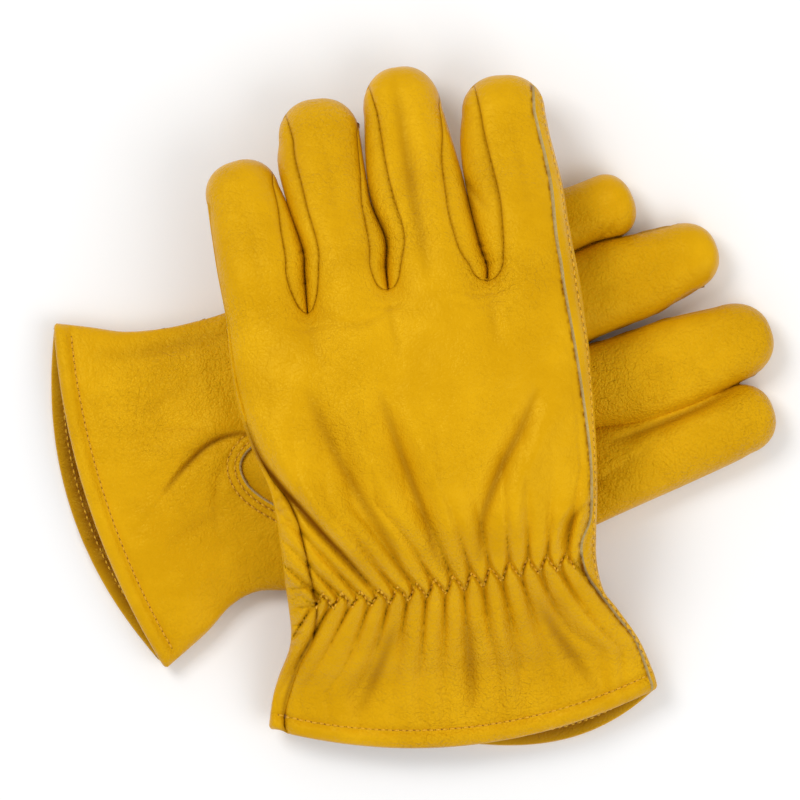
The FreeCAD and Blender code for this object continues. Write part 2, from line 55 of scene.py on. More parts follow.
HEM_WIDTH = 8.0              # how far the hem reaches up inside the cuff
KNUCKLE_Y = 152.0            # where the hand ends and the fingers begin
FLAT_SIDE = 8.0              # height of a side that lies flat, over the glove's middle plane
TIP_TURN = math.radians(84)  # a fingertip's round is drawn up to this angle
FINGERS = ("little", "ring", "middle", "index")
FACING = {"back": np.array([1, 1, 1]), "palm": np.array([1, 1, -1])}
FINE = 0.8      # grid step
FINGER_GRID_LENGTH = 58.0    # the lengths that set how many grid steps go up a finger,
TIP_GRID_LENGTH = 20.0       # round its tip,
FINGER_GRID_WIDTH = 38.0     # across its block,
LAP_GRID_WIDTH = 14.0        # across the lap
THUMB_GRID_WIDTH = 64.0      # and round the thumb
FOURCHETTE_COLUMNS = 21
# Grid rows: 0 at the rim to 1 at the knuckles; 0 at a finger's crotch, 1 at its shoulder, 2 at its tip.
HAND_ROWS = np.arange(0, 1.0001, FINE / KNUCKLE_Y)
FINGER_ROWS = np.concatenate([[0, 0.003, 0.008], np.linspace(0, 1, int(FINGER_GRID_LENGTH / FINE) + 1)[1:],
                              1 + np.linspace(0, 1, int(TIP_GRID_LENGTH / FINE) + 1)[1:]])
RAW_EDGE = 1.15              # how far the lap's cut edge stands above the back panel
FLOOR_GAP = 0.55             # the leather's outside stays this far above the floor, for its thread
WELL_DEPTH = 0.40            # share of the height that is lost in the wells at the finger crotches
WELL_WIDTH = 6.0
SEAM_DEPTH = 0.75            # the groove along a finger seam,
SEAM_WIDTH = 0.75
PUCKER_DEPTH = 0.3           # and the puckered dip beside it
PUCKER_WIDTH = 4.5
RIM_ROLL = 1.1               # height of the roll along the cuff's rim
RIM_FADE = 45.0              # how far up from the cuff's corners the rows still follow the rim's bow
ROWS_BEND = 100.0            # y from which the rows bend to meet the finger crotches
SEAM_DRIFT = 0.45            # how fast a finger's seams run outwards round its tip
UNDERLAP = 2.4               # how far the back panel runs on under the lap
UNDER_LIMIT = 0.93           # the share of the half-width past which nothing runs on under the lap
TUCK = 1.7                   # how far a fourchette's end is tucked in at the fingertip,
TUCK_POWER = 9               # and how late that sets in
TOUCH_SHARE = 0.42           # where across a fourchette two fingers' sides touch each other
THIN_REACH = 0.006           # metres over which a fourchette thins out towards its end
THIN_SHARE = 0.12            # share of its thickness left at the end
LEAN_FADE = 13.0             # how far the ground raised by a leaning fold reaches behind it
STITCH_PARTS = 6             # a stitch's lengthwise parts
STITCH_SIDES = 6             # and the sides of its section
STITCH_WOBBLE = 0.12         # how far stitches stray from their line
LONGEST_STITCH = 2.2         # a stitch stretched to more than this many lengths over an edge is left out
# Stitches: (pitch, length of one, thickness of its thread).
HEM_STITCH = (2.45, 1.6, 0.8)
WRIST_STITCH = (2.1, 1.5, 0.95)
LAP_STITCH = (2.9, 2.0, 0.8)
THUMB_STITCH = (2.5, 1.7, 0.8)
ELASTIC_LENGTH = 88.0
ELASTIC_WIDTH = 7.2
ELASTIC_THICK = 1.0
ELASTIC_RIB = 1.1            # pitch of its ribs
ELASTIC_DEPTH = 3.8          # how far it lies below the plain back
# Colours, each a lighter and a darker one; the grain has a third, for its light patches.
# The grain's darker colour is also the painted shade laid into folds, seams and the cuff's inside.
GRAIN = ((0.69, 0.348, 0.002), (0.21, 0.056, 0.001), (0.74, 0.391, 0.004))
FLESH = ((0.36, 0.19, 0.055), (0.20, 0.095, 0.022))
CUT_EDGE = ((0.58, 0.45, 0.19), (0.38, 0.25, 0.07))
TWINE = ((0.84, 0.46, 0.012), (0.66, 0.34, 0.006))
# painted shade of the needle holes: colours of the dark quads at the stitch ends
NEEDLE_HOLE_SHADE = ((0.38, 0.15, 0.006), (0.25, 0.085, 0.003))
WEBBING = ((0.66, 0.58, 0.42), (0.42, 0.35, 0.22))
# Light and camera, in metres and watts: (name, place, size, power).
LIGHTS = (("key", (-0.75, 0.65, 1.5), 0.7, 11.7), ("fill", (0.9, -0.6, 1.4), 1.2, 9.4))
CAMERA_PLACE = (-0.0072, 0.0013, 2.6)
FRAME_WIDTH = 0.288
GLOVES_MIDDLE = 0.03


# ---- the two gloves' outlines ---------------------------------------------------------------------
# Outlines run from the cuff upwards, and a finger's from its crotch to its shoulder.
# cuff: y of the cuff's corners.  side_little, side_index: the hand's outlines.  valleys: from each crotch
# up between two fingers.  tip: reach of the round tip.  seams: (row, share of the half-width to the left
# seam, to the right one).  edge_little, edge_index: the back panel's edges.  palm_seam: such a share on the
# palm.  rim, rim_lean: how far the cuff hangs below its corners, and to one side.  height, finger: heights
# over the middle plane, by y and at the shoulders.  power: see crown().  ride: the middle plane's height.
LEFT = {
    "up": 1, "turn": 6.0, "cuff": 2.6,
    "side_little": [(-71, 3), (-68.5, 13), (-65.2, 21), (-60.8, 29.5), (-59.2, 36), (-59, 44), (-59.2, 52),
                    (-59.3, 62), (-59.7, 75), (-60.4, 84), (-62.2, 92), (-65, 100), (-67, 108),
                    (-68.9, 116), (-70.2, 126), (-70.4, 136), (-70.3, 152)],
    "side_index": [(70.5, 3), (69.5, 8), (65.5, 20), (58.8, 32), (54.3, 39.5), (52.7, 50.5), (53.6, 62),
                   (55.7, 79), (56.9, 97), (57.7, 119), (57.5, 137), (57, 152)],
    "valleys": [[(-41, 149.5), (-40.5, 164), (-40.2, 172), (-43.7, 187.4)],
                [(-11.5, 155), (-11.4, 163), (-10.5, 173), (-14.1, 186)],
                [(24, 154.4), (24.6, 160), (23.2, 166), (21.3, 179)]],
    "fingers": [
        {"left": [(-70.3, 152), (-71.6, 166), (-72.3, 178), (-72.9, 192)],
         "right": [(-41, 149.5), (-40.5, 164), (-40.2, 172), (-43.7, 187.4), (-46.8, 197)], "tip": 12.5,
         "seams": [(0, -0.99, 1), (0.005, -0.99, 0.93), (0.018, -0.99, 0.88), (0.05, -0.99, 0.79),
                   (0.1, -0.99, 0.72), (0.2, -0.99, 0.62),
                   (0.35, -0.99, 0.57), (0.6, -0.99, 0.62), (0.8, -0.99, 0.74), (1, -0.97, 0.86)]},
        {"left": [(-41, 149.5), (-40.6, 164), (-40.4, 172), (-43.9, 187.6), (-46.2, 203.2), (-45, 212)],
         "right": [(-11.5, 155), (-11.6, 163), (-10.6, 173), (-14.2, 186), (-15.2, 199), (-15.8, 212)],
         "tip": 14.5,
         "seams": [(0, -1, 1), (0.005, -0.91, 0.91), (0.018, -0.86, 0.83), (0.05, -0.79, 0.74),
                   (0.1, -0.72, 0.68), (0.2, -0.66, 0.6), (0.35, -0.62, 0.61), (0.5, -0.57, 0.73),
                   (0.7, -0.54, 0.85), (0.85, -0.56, 0.9), (1, -0.64, 0.93)]},
        {"left": [(-11.5, 155), (-11.3, 163), (-10.4, 173), (-14, 186), (-14.8, 199), (-13.6, 218)],
         "right": [(24, 154.4), (24.4, 160), (23, 166), (21, 179), (19.2, 193), (17.4, 204), (14.6, 219)],
         "tip": 16.5,
         "seams": [(0, -1, 1), (0.005, -0.91, 0.9), (0.018, -0.85, 0.81), (0.05, -0.78, 0.71),
                   (0.1, -0.73, 0.65), (0.2, -0.65, 0.53), (0.35, -0.55, 0.5), (0.5, -0.52, 0.56),
                   (0.7, -0.56, 0.65), (0.85, -0.6, 0.83), (1, -0.65, 0.93)]},
        {"left": [(24, 154.4), (24.5, 160), (23.1, 166), (21.2, 179), (19.8, 195), (20, 206), (21.6, 215)],
         "right": [(57, 152), (55.5, 169), (54.7, 185), (53.2, 197), (52.2, 204), (51.4, 213)],
         "tip": 14,
         "seams": [(0, -1, 0.66), (0.005, -0.9, 0.66), (0.018, -0.81, 0.67), (0.05, -0.72, 0.67),
                   (0.1, -0.64, 0.68), (0.2, -0.51, 0.69), (0.35, -0.41, 0.73), (0.5, -0.36, 0.77),
                   (0.7, -0.39, 0.8), (0.85, -0.45, 0.8), (1, -0.56, 0.76)]},
    ],
    "edge_little": [(-65.5, 0), (-65, 8), (-61.6, 17), (-57, 26), (-53.7, 30.5), (-50.8, 35.5), (-49.3, 42),
                    (-49.2, 47), (-49.8, 54), (-50.6, 62.5), (-52, 74), (-54.5, 83), (-60, 92),
                    (-64.6, 103), (-67.6, 116), (-69.6, 132), (-70, 152)],
    "edge_index": [(69, 4), (64.8, 20), (59, 29.5), (53.3, 38.7), (48.9, 47), (48.1, 57), (52.2, 66),
                   (53.8, 78), (54.5, 90), (54.2, 105), (53.3, 124), (51.8, 145), (51.4, 152)],
    "palm_seam": 0.9,
    "rim": {"back": 12.9, "palm": 12.6},
    "rim_lean": {"back": 0.0, "palm": 5.8},
    "back": {"height": [(-10, 8.5), (20, 10), (46, 9), (72, 13), (110, 14.5), (152, 13)],
             "finger": 11.5, "power": 2.5},
    "palm": {"height": [(-10, 7), (48, 7), (75, FLAT_SIDE), (152, FLAT_SIDE)], "finger": 7.5, "power": 3.2},
    "ride": [(-14, 8.3), (11, 13.5), (22, 20.5), (36, 30), (44.5, 36), (51.5, 40.6), (62, 46), (80, 49.6),
             (137, 49.6), (175, 43), (205, 32), (238, 20)],
    "crotch_folds": [([(19.6, 192), (22.6, 186.5), (27, 179)], 1.5, -2.2, 0),
                     ([(22, 168), (24.6, 166.4)], 0.6, -1.4, 0), ([(22.6, 164.5),
                                                                   (26, 162.8)], 0.6, -1.4, 0),
                     ([(23, 161), (27, 160.2)], 0.6, -1.3, 0), ([(-14, 163), (-9, 163.5)], 0.6, -1.2, 0),
                     ([(-42.5, 171), (-39, 172.2)], 0.7, -1.3, 0), ([(-42, 160),
                                                                     (-39.5, 161)], 0.6, -1.2, 0),
                     ([(-38, 181), (-33.5, 181.5)], 0.7, -1.1, 0)],
}
RIGHT = {
    "up": -1, "turn": -72.1, "cuff": -0.6,
    "side_little": [(-66, -2), (-60.1, 11), (-54.9, 22), (-51.7, 35.6), (-50.5, 48), (-50.3, 60), (-52, 80),
                    (-55, 100), (-57.5, 120), (-58.5, 152)],
    "side_index": [(66.4, -2), (58.2, 16.7), (51.7, 28), (49.7, 38.7), (53, 50.5), (58, 70), (62, 90),
                   (65.5, 115), (66.5, 135), (66, 152)],
    "valleys": [[(-29, 150), (-31, 168), (-32.7, 186)], [(1.5, 157), (0.8, 170), (0.4, 182)],
                [(31, 155), (31.8, 172), (35.2, 189)]],
    "fingers": [
        {"left": [(-58.5, 152), (-57, 170), (-55.4, 189), (-56, 202)],
         "right": [(-29, 150), (-31, 168), (-32.3, 186), (-33.1, 195), (-32.5, 204)], "tip": 9.5,
         "seams": [(0, -0.93, 1), (0.3, -0.93, 0.9), (1, -0.93, 0.9)]},
        {"left": [(-29, 150), (-31, 168), (-32.3, 186), (-33.1, 197), (-31.8, 208), (-30.6, 222)],
         "right": [(1.5, 157), (0.8, 170), (0, 182), (-0.9, 194.5), (-1.7, 207), (-5.4, 223)], "tip": 13.5,
         "seams": [(0, -1, 1), (0.3, -0.9, 0.9), (1, -0.9, 0.9)]},
        {"left": [(1.5, 157), (1.7, 170), (1.5, 181), (1.4, 194), (1, 210), (2.6, 229)],
         "right": [(31, 155), (31.6, 173), (35.2, 189), (35.7, 202), (34.1, 217), (31, 230)], "tip": 16,
         "seams": [(0, -1, 1), (0.3, -0.9, 0.9), (1, -0.9, 0.9)]},
        {"left": [(31, 155), (30, 173), (32, 189), (32.4, 205), (31.6, 217), (31.5, 224)],
         "right": [(66, 152), (64.7, 162), (62.9, 177), (60.7, 198), (58.3, 218), (57, 225)], "tip": 13,
         "seams": [(0, -1, 0.93), (0.3, -0.9, 0.93), (1, -0.9, 0.93)]},
    ],
    "edge_little": [(-64, 0), (-58, 12), (-53, 22), (-49, 36), (-48, 50), (-49, 80), (-54, 110),
                    (-57, 152)],
    "edge_index": [(63, 4), (56, 17), (49.5, 28), (47, 39), (50, 51), (56, 75), (62, 110), (63, 152)],
    "palm_seam": 0.985,
    "rim": {"back": 14.8, "palm": 7.6},
    "rim_lean": {"back": 0.0, "palm": 0.0},
    "back": {"height": [(-10, 7), (48, 7), (75, FLAT_SIDE),
                        (152, FLAT_SIDE)], "finger": FLAT_SIDE, "power": 3.2},
    "palm": {"height": [(-10, 8), (20, 9), (48, 10), (75, 11.5), (152, 11)], "finger": 10.5, "power": 2.4},
    "ride": [(-14, FLAT_SIDE), (238, FLAT_SIDE)],
    "crotch_folds": [],
}
# Folds: (points, width, height, lean).  A positive height is a ridge.  A lean raises the ground on the left
# of the fold's direction of travel, or on its right where it is negative, and fades out behind.
LEFT_BACK_FOLDS = [
    ([(-18, 118), (-13, 96), (-7, 73), (-4.4, 59), (-1.6, 53)], 3.4, -3.6, 0),
    ([(-10, 116), (-5, 96), (1, 76), (4, 62)], 5.0, 2.1, 0),
    ([(-44, 122), (-37, 101), (-28.4, 81), (-20, 64), (-17.5, 52)], 4.0, -2.9, 0),
    ([(-33, 118), (-26, 98), (-18, 80), (-11.5, 66)], 5.5, 2.2, 0),
    ([(37, 113), (30, 100), (22.7, 89), (16.9, 78), (13.5, 70), (11, 56)], 3.2, -3.8, 0),
    ([(44, 108), (36, 93), (28, 80), (24, 68), (22, 57)], 6.0, 2.2, 0),
    ([(50, 71), (45.5, 67), (43, 62), (41, 56)], 1.9, -2.8, 0),
    ([(46.5, 73), (41, 67), (38.6, 61), (37, 55)], 2.6, 1.8, 0),
    ([(53, 77), (48.5, 70), (45.5, 61), (44.5, 56)], 2.2, 1.8, 0),
    ([(-67, 112), (-63.3, 100), (-56.8, 89), (-50.9, 80.6), (-43, 69.5), (-36, 60),
      (-30, 51)], 2.6, -3.8, 5.6),
    ([(-61, 116), (-55, 100), (-46, 84), (-38, 73), (-31, 63)], 6.4, 2.8, 0),
    ([(-36, 148), (-30, 144.6), (-24, 143.7), (-17, 145), (-11, 148.3)], 1.6, -0.9, 0),
    ([(-33, 142), (-24, 139), (-14, 141)], 3.4, 0.5, 0),
    ([(-1.5, 228), (-0.6, 214), (0.2, 198), (1.2, 182), (3.2, 160)], 4.4, -2.7, 0),
    ([(5.5, 224), (7, 205), (8, 188), (10, 168)], 4.0, 0.9, 0),
    ([(-58, 188), (-57.5, 172), (-56, 158)], 4.0, -0.5, 0),
    ([(-30, 214), (-28, 196), (-27, 176)], 3.6, -0.5, 0),
    ([(38, 214), (40, 196), (42, 176)], 3.6, -0.6, 0),
    ([(-41, 147), (-39.5, 138), (-37, 128)], 3.2, -0.9, 0),
    ([(-11.5, 152), (-11, 141), (-10, 130)], 3.4, -1.0, 0),
    ([(24, 151), (24.4, 141), (25, 131)], 3.4, -1.0, 0),
    ([(-22, 34), (-30, 18), (-38, 4)], 4.4, -2.9, 0),
    ([(-12, 36), (-17, 20), (-21, 4)], 4.0, 1.8, 0),
    ([(4, 34), (4, 18), (3, 2)], 4.5, -2.7, 0),
    ([(14, 36), (17, 20), (18, 4)], 4.5, 1.9, 0),
    ([(30, 38), (38, 22), (47, 6)], 4.5, -3.0, 0),
    ([(40, 42), (48, 30), (58, 16)], 4.0, 2.2, 0),
    ([(-22, 151), (-14, 148.4), (-5, 150)], 0.7, -0.6, 0),
    ([(12, 152), (22, 149.4), (34, 151.5)], 0.7, -0.6, 0),
    ([(8, 149), (20, 145.8), (33, 148)], 0.8, -0.5, 0),
    ([(-52, 148), (-42, 143.5), (-33, 145)], 0.8, -0.5, 0),
    ([(-58, 52.3), (-54, 52), (-50, 52.8)], 0.7, -1.8, 0),
    ([(-58.2, 48.3), (-55, 48.8)], 0.6, -1.0, 0),
    ([(-58, 44.5), (-51.5, 45.2)], 0.7, -1.8, 0),
    ([(-59, 38.7), (-53, 39.3)], 0.7, -1.6, 0),
    ([(-59.5, 35.1), (-55, 35.6)], 0.6, -1.4, 0),
    ([(-60.5, 31.6), (-57, 31.4)], 0.6, -1.1, 0),
    ([(-59.5, 84), (-55.5, 86)], 0.7, -1.2, 0),
    ([(-59.5, 80), (-54.5, 81.5)], 0.7, -1.2, 0),
    ([(-59, 75.5), (-54, 76.6)], 0.7, -1.0, 0),
]
RIGHT_PALM_FOLDS = [
    ([(-5, 56), (-7, 48), (-6.5, 39), (-2, 29), (5, 18)], 2.2, -1.5, -2.0),
    ([(-42, 66), (-44, 44), (-46, 24), (-50, 8)], 6.0, -1.4, 0),
    ([(-10, 50), (-11, 38), (-8, 24), (-3, 12)], 4.5, 1.5, 0),
    ([(-32, 46), (-28, 30), (-24, 16)], 4.5, -0.7, 0),
    ([(18, 36), (20, 24), (24, 12)], 5.0, -0.7, 0),
    ([(36, 40), (38, 26), (44, 12)], 4.0, 0.8, 0),
    ([(38, 200), (44, 188), (48, 176), (50, 164)], 2.2, -0.9, 0),
    ([(46, 212), (50, 200), (53, 186)], 4.0, 0.7, 0),
    ([(56, 172), (50, 168), (44, 160)], 1.8, -0.7, 0),
    ([(36, 196), (42, 190), (46, 180)], 3.0, 0.6, 0),
    ([(52, 226), (56, 221), (59.5, 218)], 1.0, -0.5, 0),
    ([(-44, 196), (-43, 180), (-42, 166)], 4.0, -0.4, 0),
    ([(-18, 222), (-16, 200), (-15, 176)], 4.0, -0.4, 0),
    ([(18, 230), (18, 206), (17, 180)], 4.0, -0.4, 0),
    ([(37.4, 178), (37.2, 190), (36.4, 203), (35.2, 215), (33, 227)], 2.4, -3.6, 0),
    ([(-32.8, 186), (-33.8, 194), (-35.2, 199), (-37.5, 203)], 0.9, -1.3, 0),
    ([(-34.5, 191), (-37, 197), (-39.5, 199.5)], 0.8, -0.9, 0),
    ([(-12, 40), (-16, 30), (-17, 20)], 1.4, -0.6, 0),
    ([(-1, 46), (6, 38), (18, 33), (30, 32)], 1.6, -0.7, 0),
    ([(4, 42), (12, 36), (24, 36)], 1.2, -0.5, 0),
]
# The hem turned in: (depth below the outside, reach up from the rim, how dark it lies in the cuff's shade)
HEM_TURN = ((2.3, HEM_WIDTH, 1.0), (2.35, 5.0, 1.0), (2.3, 2.6, 0.95), (1.9, -0.9, 0.35), (1.15, -1.4, 0.0),
            (0.35, -0.9, 0.0))
GATHER_LOW = [(-49.4, 43.6), (-26, 42.6), (-3.7, 44.3), (11, 45.5), (24, 47.7), (44.8, 48.5)]
GATHER_RISE = 6.3            # height of the gathering zigzag
GATHER_PITCH = 6.72
GATHER_COUNT = 14
PLEAT = 5.8                  # height of a pleat beside the zigzag
# How far the pleats lean sideways for each millimetre away from the zigzag: (x at the zigzag, lean)
FAN_UP = [(-46, -0.9), (-10, -0.5), (2, -0.25), (20, 0.0), (46, 0.3)]
FAN_DOWN = [(-46, -0.75), (-20, -0.3), (5, -0.03), (30, 0.25), (46, 0.65)]
FAN_REACH = 34.0             # the distance past which the lean grows no more
HEM_ROW = 5.2                # the hem's stitches above the rim
HEM_SPREAD = 0.965           # share of the cuff's half-width up to which they go
HEM_ROW_INSIDE = 3.4         # the same row as it shows on the inside, where the hem rolls over
LAP_ROW = 3.8                # the lap's stitches from its cut edge
LAP_ROW_SIDE = 1.0           # and no nearer than this to the outline
THUMB_ROWS = (1.9, 4.6)      # the thumb's two rows from its cut edge
# The thumb: (y, x of its middle, half-width), its thickness and folds, and the edge of the palm's hole.
THUMB_ROOT = 40.0
THUMB_LINE = [(THUMB_ROOT, 8, 3), (42, 8, 8), (46, 8.8, 12.5), (52, 10.5, 16.5), (60, 14, 19.5),
              (70, 18.4, 20.8), (80, 22.4, 19.2), (90, 25.5, 18.3), (108, 30, 16), (128, 34, 14.5),
              (142, 37, 12), (148, 38.4, 8.5), (151.5, 39, 3)]
THUMB_THICK = 10.0
THUMB_FOLDS = [
    ([(26, 140), (32, 126), (33, 112)], 3.5, -0.7, 0),
    ([(14, 92), (22, 98), (34, 97)], 2.2, -0.8, 0),
    ([(12, 86), (20, 91), (36, 90)], 3.4, 0.6, 0),
]
THUMB_HOLE_TOP = 84.0        # the hole's edge is followed up to this y,
THUMB_HOLE_FOOT = 44.0       # from this one,
THUMB_HOLE_SIDES = (-8, 44)  # and between these x
THUMB_TIP = 141.0            # y where the tip starts to round off,
THUMB_ROUND = 10.6           # how far beyond it the tip ends,
THUMB_FINER = 146.0          # and where its grid rows get closer
THUMB_EDGE = [(6, 88), (-2.2, 74), (-3.2, 64), (-2, 56.5), (0.4, 50.5), (4.6, 47), (11, 47.2), (17, 50.4),
              (23, 55.6), (30, 62), (38, 74), (40, 88)]


# ---- curves and small mathematics -----------------------------------------------------------------
def smooth_line(points, count=240):
    """Points evenly along a Catmull-Rom curve through the given points."""
    p = np.array(points, float)
    ends = np.vstack([2 * p[0] - p[1], p, 2 * p[-1] - p[-2]])
    parts = []
    for i in range(len(p) - 1):
        f = np.linspace(0, 1, 24, endpoint=False)[:, None]
        a, b, c, d = ends[i:i + 4]
        parts.append(0.5 * (2 * b + (c - a) * f + (2 * a - 5 * b + 4 * c - d) * f ** 2
                            + (3 * b - a - 3 * c + d) * f ** 3))
    dense = np.vstack([*parts, p[-1:]])
    along = travelled(dense)
    want = np.linspace(0, along[-1], count)
    return np.stack([np.interp(want, along, dense[:, k]) for k in range(dense.shape[1])], 1)


def travelled(points):
    """Length travelled along a line at each of its points."""
    return np.concatenate([[0], np.cumsum(np.linalg.norm(np.diff(points, axis=0), axis=1))])


def at_y(points, y):
    """x on a smooth line at each y; the line runs upwards."""
    line = smooth_line(points)
    return np.interp(y, line[:, 1], line[:, 0])


def eased(rows, x):
    """Smooth table look-up through (x, value) rows."""
    line = smooth_line(rows, 200)
    return np.interp(x, line[:, 0], line[:, 1])


def ramp(x, a, b):
    """A smooth step from 0 at a to 1 at b."""
    f = np.clip((x - a) / (b - a), 0, 1)
    return f * f * (3 - 2 * f)


def bell(gap, width, power=2):
    """1 where the gap is nothing, falling off over the width; a higher power has a flatter top."""
    return np.exp(-(gap / width) ** power)


def crown(share, power):
    """Height of a rounded section over its width: 1 in the middle and 0 at both outlines."""
    return np.maximum(0.0, 1 - np.abs(share) ** power) ** (1 / power)


def share_at(x, left, right):
    """Where x lies between two outlines, from -1 at the left one to 1 at the right one."""
    return (2 * x - left - right) / (right - left)


def line_distance(x, y, points):
    """Distance from each (x, y) to a line, the share along it, and which side (+1 is its left)."""
    p = np.array(points, float)
    best = np.full(np.shape(x), 1e9)
    along, side = np.zeros(np.shape(x)), np.ones(np.shape(x))
    start = travelled(p)
    for i in range(len(p) - 1):
        d = p[i + 1] - p[i]
        f = np.clip(((x - p[i, 0]) * d[0] + (y - p[i, 1]) * d[1]) / (d @ d), 0, 1)
        gap = np.hypot(x - p[i, 0] - f * d[0], y - p[i, 1] - f * d[1])
        near = gap < best
        best = np.where(near, gap, best)
        along = np.where(near, (start[i] + f * (start[i + 1] - start[i])) / start[-1], along)
        turn = d[0] * (y - p[i, 1]) - d[1] * (x - p[i, 0])
        side = np.where(near, np.sign(turn), side)
    return best, along, side


def beside(line, out):
    """A line moved sideways, to the right of its direction."""
    step = np.gradient(line, axis=0)
    step /= np.linalg.norm(step, axis=1)[:, None]
    return line + np.stack([step[:, 1], -step[:, 0]], 1) * out


def wander(x, y, size, seed):
    """Smooth noise of about +-1 over the plane; size is its grain in millimetres."""
    flat = [noise.noise(Vector((a / size, b / size, seed))) for a, b in zip(np.ravel(x), np.ravel(y))]
    return np.array(flat).reshape(np.shape(x)) * 2


def folds(x, y, strokes):
    """Height of the folds at each (x, y), and the painted shade in their valleys and beside a leaning
    fold's edge.
    """
    z, dark = np.zeros(np.shape(x)), np.zeros(np.shape(x))
    for points, width, height, lean in strokes:
        gap, along, side = line_distance(x, y, smooth_line(points, 24))
        taper = np.sin(np.pi * np.clip(along * 0.92 + 0.04, 0, 1)) ** 0.7
        z += height * taper * bell(gap, width, 1.6)
        if height < 0:
            # painted shade in a fold's valley
            dark += -0.16 * height * taper * bell(gap, 0.5 * width)
        if lean:
            ahead = gap * side * np.sign(lean)
            z += abs(lean) * taper * ramp(ahead, -0.5, 1.8) * bell(np.maximum(ahead, 0), LEAN_FADE, 1)
            # painted shadow along the edge of a leaning fold
            dark += 0.55 * taper * bell(gap, 0.9)
    return z, dark


# ---- one glove's surface --------------------------------------------------------------------------
class Glove:
    """One glove's outlines and heights, and where it lies in the scene."""

    def __init__(self, shape, at, strokes):
        self.shape, self.at, self.strokes = shape, at, strokes
        self.turn = math.radians(shape["turn"])
        crotches = [valley[0] for valley in shape["valleys"]]
        self.knuckles = np.array([shape["side_little"][-1], *crotches, shape["side_index"][-1]], float)
        self.edges = [(smooth_line(f["left"]), smooth_line(f["right"])) for f in shape["fingers"]]
        # Where the palm's finger seams lie at the outline, they hardly show.
        self.hidden_seams = shape["palm_seam"] > 0.95
        rows = np.linspace(0.03, 1.5, 40)
        upper = self.finger_point(3, self.seam_share(3, rows, "back")[1], rows, "back")
        self.lap_line = np.vstack([smooth_line(shape["edge_index"], 60), upper[:, :2]])

    def place(self, points):
        """Glove points in millimetres to scene points in metres."""
        x, y, z = points[..., 0], points[..., 1], points[..., 2]
        c, s = math.cos(self.turn), math.sin(self.turn)
        middle = eased(self.shape["ride"], y)
        out = np.stack([self.at[0] + c * x - s * y, self.at[1] + s * x + c * y,
                        np.maximum(middle + self.shape["up"] * z, FLOOR_GAP)], -1)
        return out * MM

    def sides(self, y):
        """x of the hand's two outlines at each y, carried on up the outer fingers."""
        s = self.shape
        left = at_y([*s["side_little"], *s["fingers"][0]["left"][1:]], y)
        right = at_y([*s["side_index"], *s["fingers"][3]["right"][1:]], y)
        return left, right

    def hand_height(self, side, x, y):
        """Height of the plain hand over its middle plane, with wells at the finger crotches."""
        across = np.clip(share_at(x, *self.sides(y)), -1, 1)
        form = self.shape[side]
        high = eased(form["height"], y)
        z = high * crown(across, form["power"])
        for valley in self.shape["valleys"]:
            gap, _, _ = line_distance(x, y, valley)
            z -= WELL_DEPTH * high * bell(gap, WELL_WIDTH, 1.5) * np.where(np.abs(across) < 0.999, 1, 0)
        return np.maximum(z, 0.0)

    def relief(self, side, x, y):
        """Folds, gathers and unevenness, in millimetres out of the surface, and the painted shade in their
        hollows.
        """
        z, dark = folds(x, y, self.strokes.get(side, []))
        z += wander(x, y, 26, 3.1 + self.shape["up"]) * 0.6 + wander(x, y, 8, 7.7) * 0.2
        if side == "back":
            height, shade = self.gathers(x, y)
            z, dark = z + height, dark + shade
        rim = y - self.rim_y(side, x)
        z += RIM_ROLL * bell(rim - 1.9, 2.1) - 0.9 * bell(rim - HEM_ROW, 1.0)
        # painted shade in the groove of the hem's stitch row
        dark += 0.12 * bell(rim - HEM_ROW, 0.5)
        return z, dark

    def level(self, rows):
        """Heights up the hand for rows from 0 at the cuff's corners to 1 at the knuckles."""
        return self.shape["cuff"] + (KNUCKLE_Y - self.shape["cuff"]) * rows

    def dip(self, side, across):
        """How far the cuff's rim hangs below its corners at a share of the width."""
        bow = 1 - across ** 2
        return self.shape["rim"][side] * bow + self.shape["rim_lean"][side] * 2.6 * across * bow

    def rim_y(self, side, x):
        """y of the cuff's rim at each x."""
        across = share_at(x, self.shape["side_little"][0][0], self.shape["side_index"][0][0])
        return self.shape["cuff"] - self.dip(side, np.clip(across, -1, 1))

    def gather_y(self, x):
        """The middle of the gathering zigzag at each x."""
        return eased(GATHER_LOW, x) + GATHER_RISE / 2

    def gathers(self, x, y):
        """Pleats that meet tip to tip along the zigzag and fan out both ways, and the painted shade in
        their valleys.
        """
        start = GATHER_LOW[0][0]
        rise = y - self.gather_y(x)
        # root: x at which the pleat through each point meets the zigzag, found in a few steps.
        root = x
        for _ in range(3):
            lean = np.where(rise > 0, np.interp(root, *zip(*FAN_UP)), np.interp(root, *zip(*FAN_DOWN)))
            root = x - lean * np.clip(np.abs(rise), 0, FAN_REACH)
        # One tooth of the zigzag is one beat, and the pleats above and below it are half a beat apart.
        beat = (root - start) / GATHER_PITCH
        peak = 1 - np.abs(2 * (beat - np.floor(beat)) - 1)
        away = y - eased(GATHER_LOW, root) - GATHER_RISE * peak
        above = away > 0
        number = np.where(above, np.floor(beat + 0.5), np.floor(beat) + 0.3)
        uneven = 0.5 * np.sin(number * 12.99) + 0.5 * np.sin(number * 4.1 + 1)
        wave = np.where(above, np.abs(np.cos(np.pi * beat)), np.abs(np.sin(np.pi * beat)))
        reach = np.where(above, 18 + 10 * uneven, 24 + 13 * uneven)
        far = np.abs(away)
        swell = ramp(far, -0.4, 2.4) * bell(far, reach, 1.15)
        seam = bell(far * 0.54, 0.8, 1.4)
        inside = ramp(root, start - 4, start + 1) * (1 - ramp(root, 45, 49))
        sharp = 0.62 + 0.55 * ramp(far, 5, 24)
        height = PLEAT * swell * (wave ** sharp - 0.5) - 1.3 * seam - 0.8 * bell(rise, 10)
        # painted shade in the pleats' valleys and along the zigzag's seam
        dark = 0.4 * swell ** 1.7 * (1 - wave) ** 3 + 0.16 * seam
        return inside * height, inside * dark

    def lap_gap(self, x, y):
        """Distance outwards from the lapped edge on the index side; negative on the back panel."""
        gap, _, side = line_distance(x, y, self.lap_line)
        return -gap * side

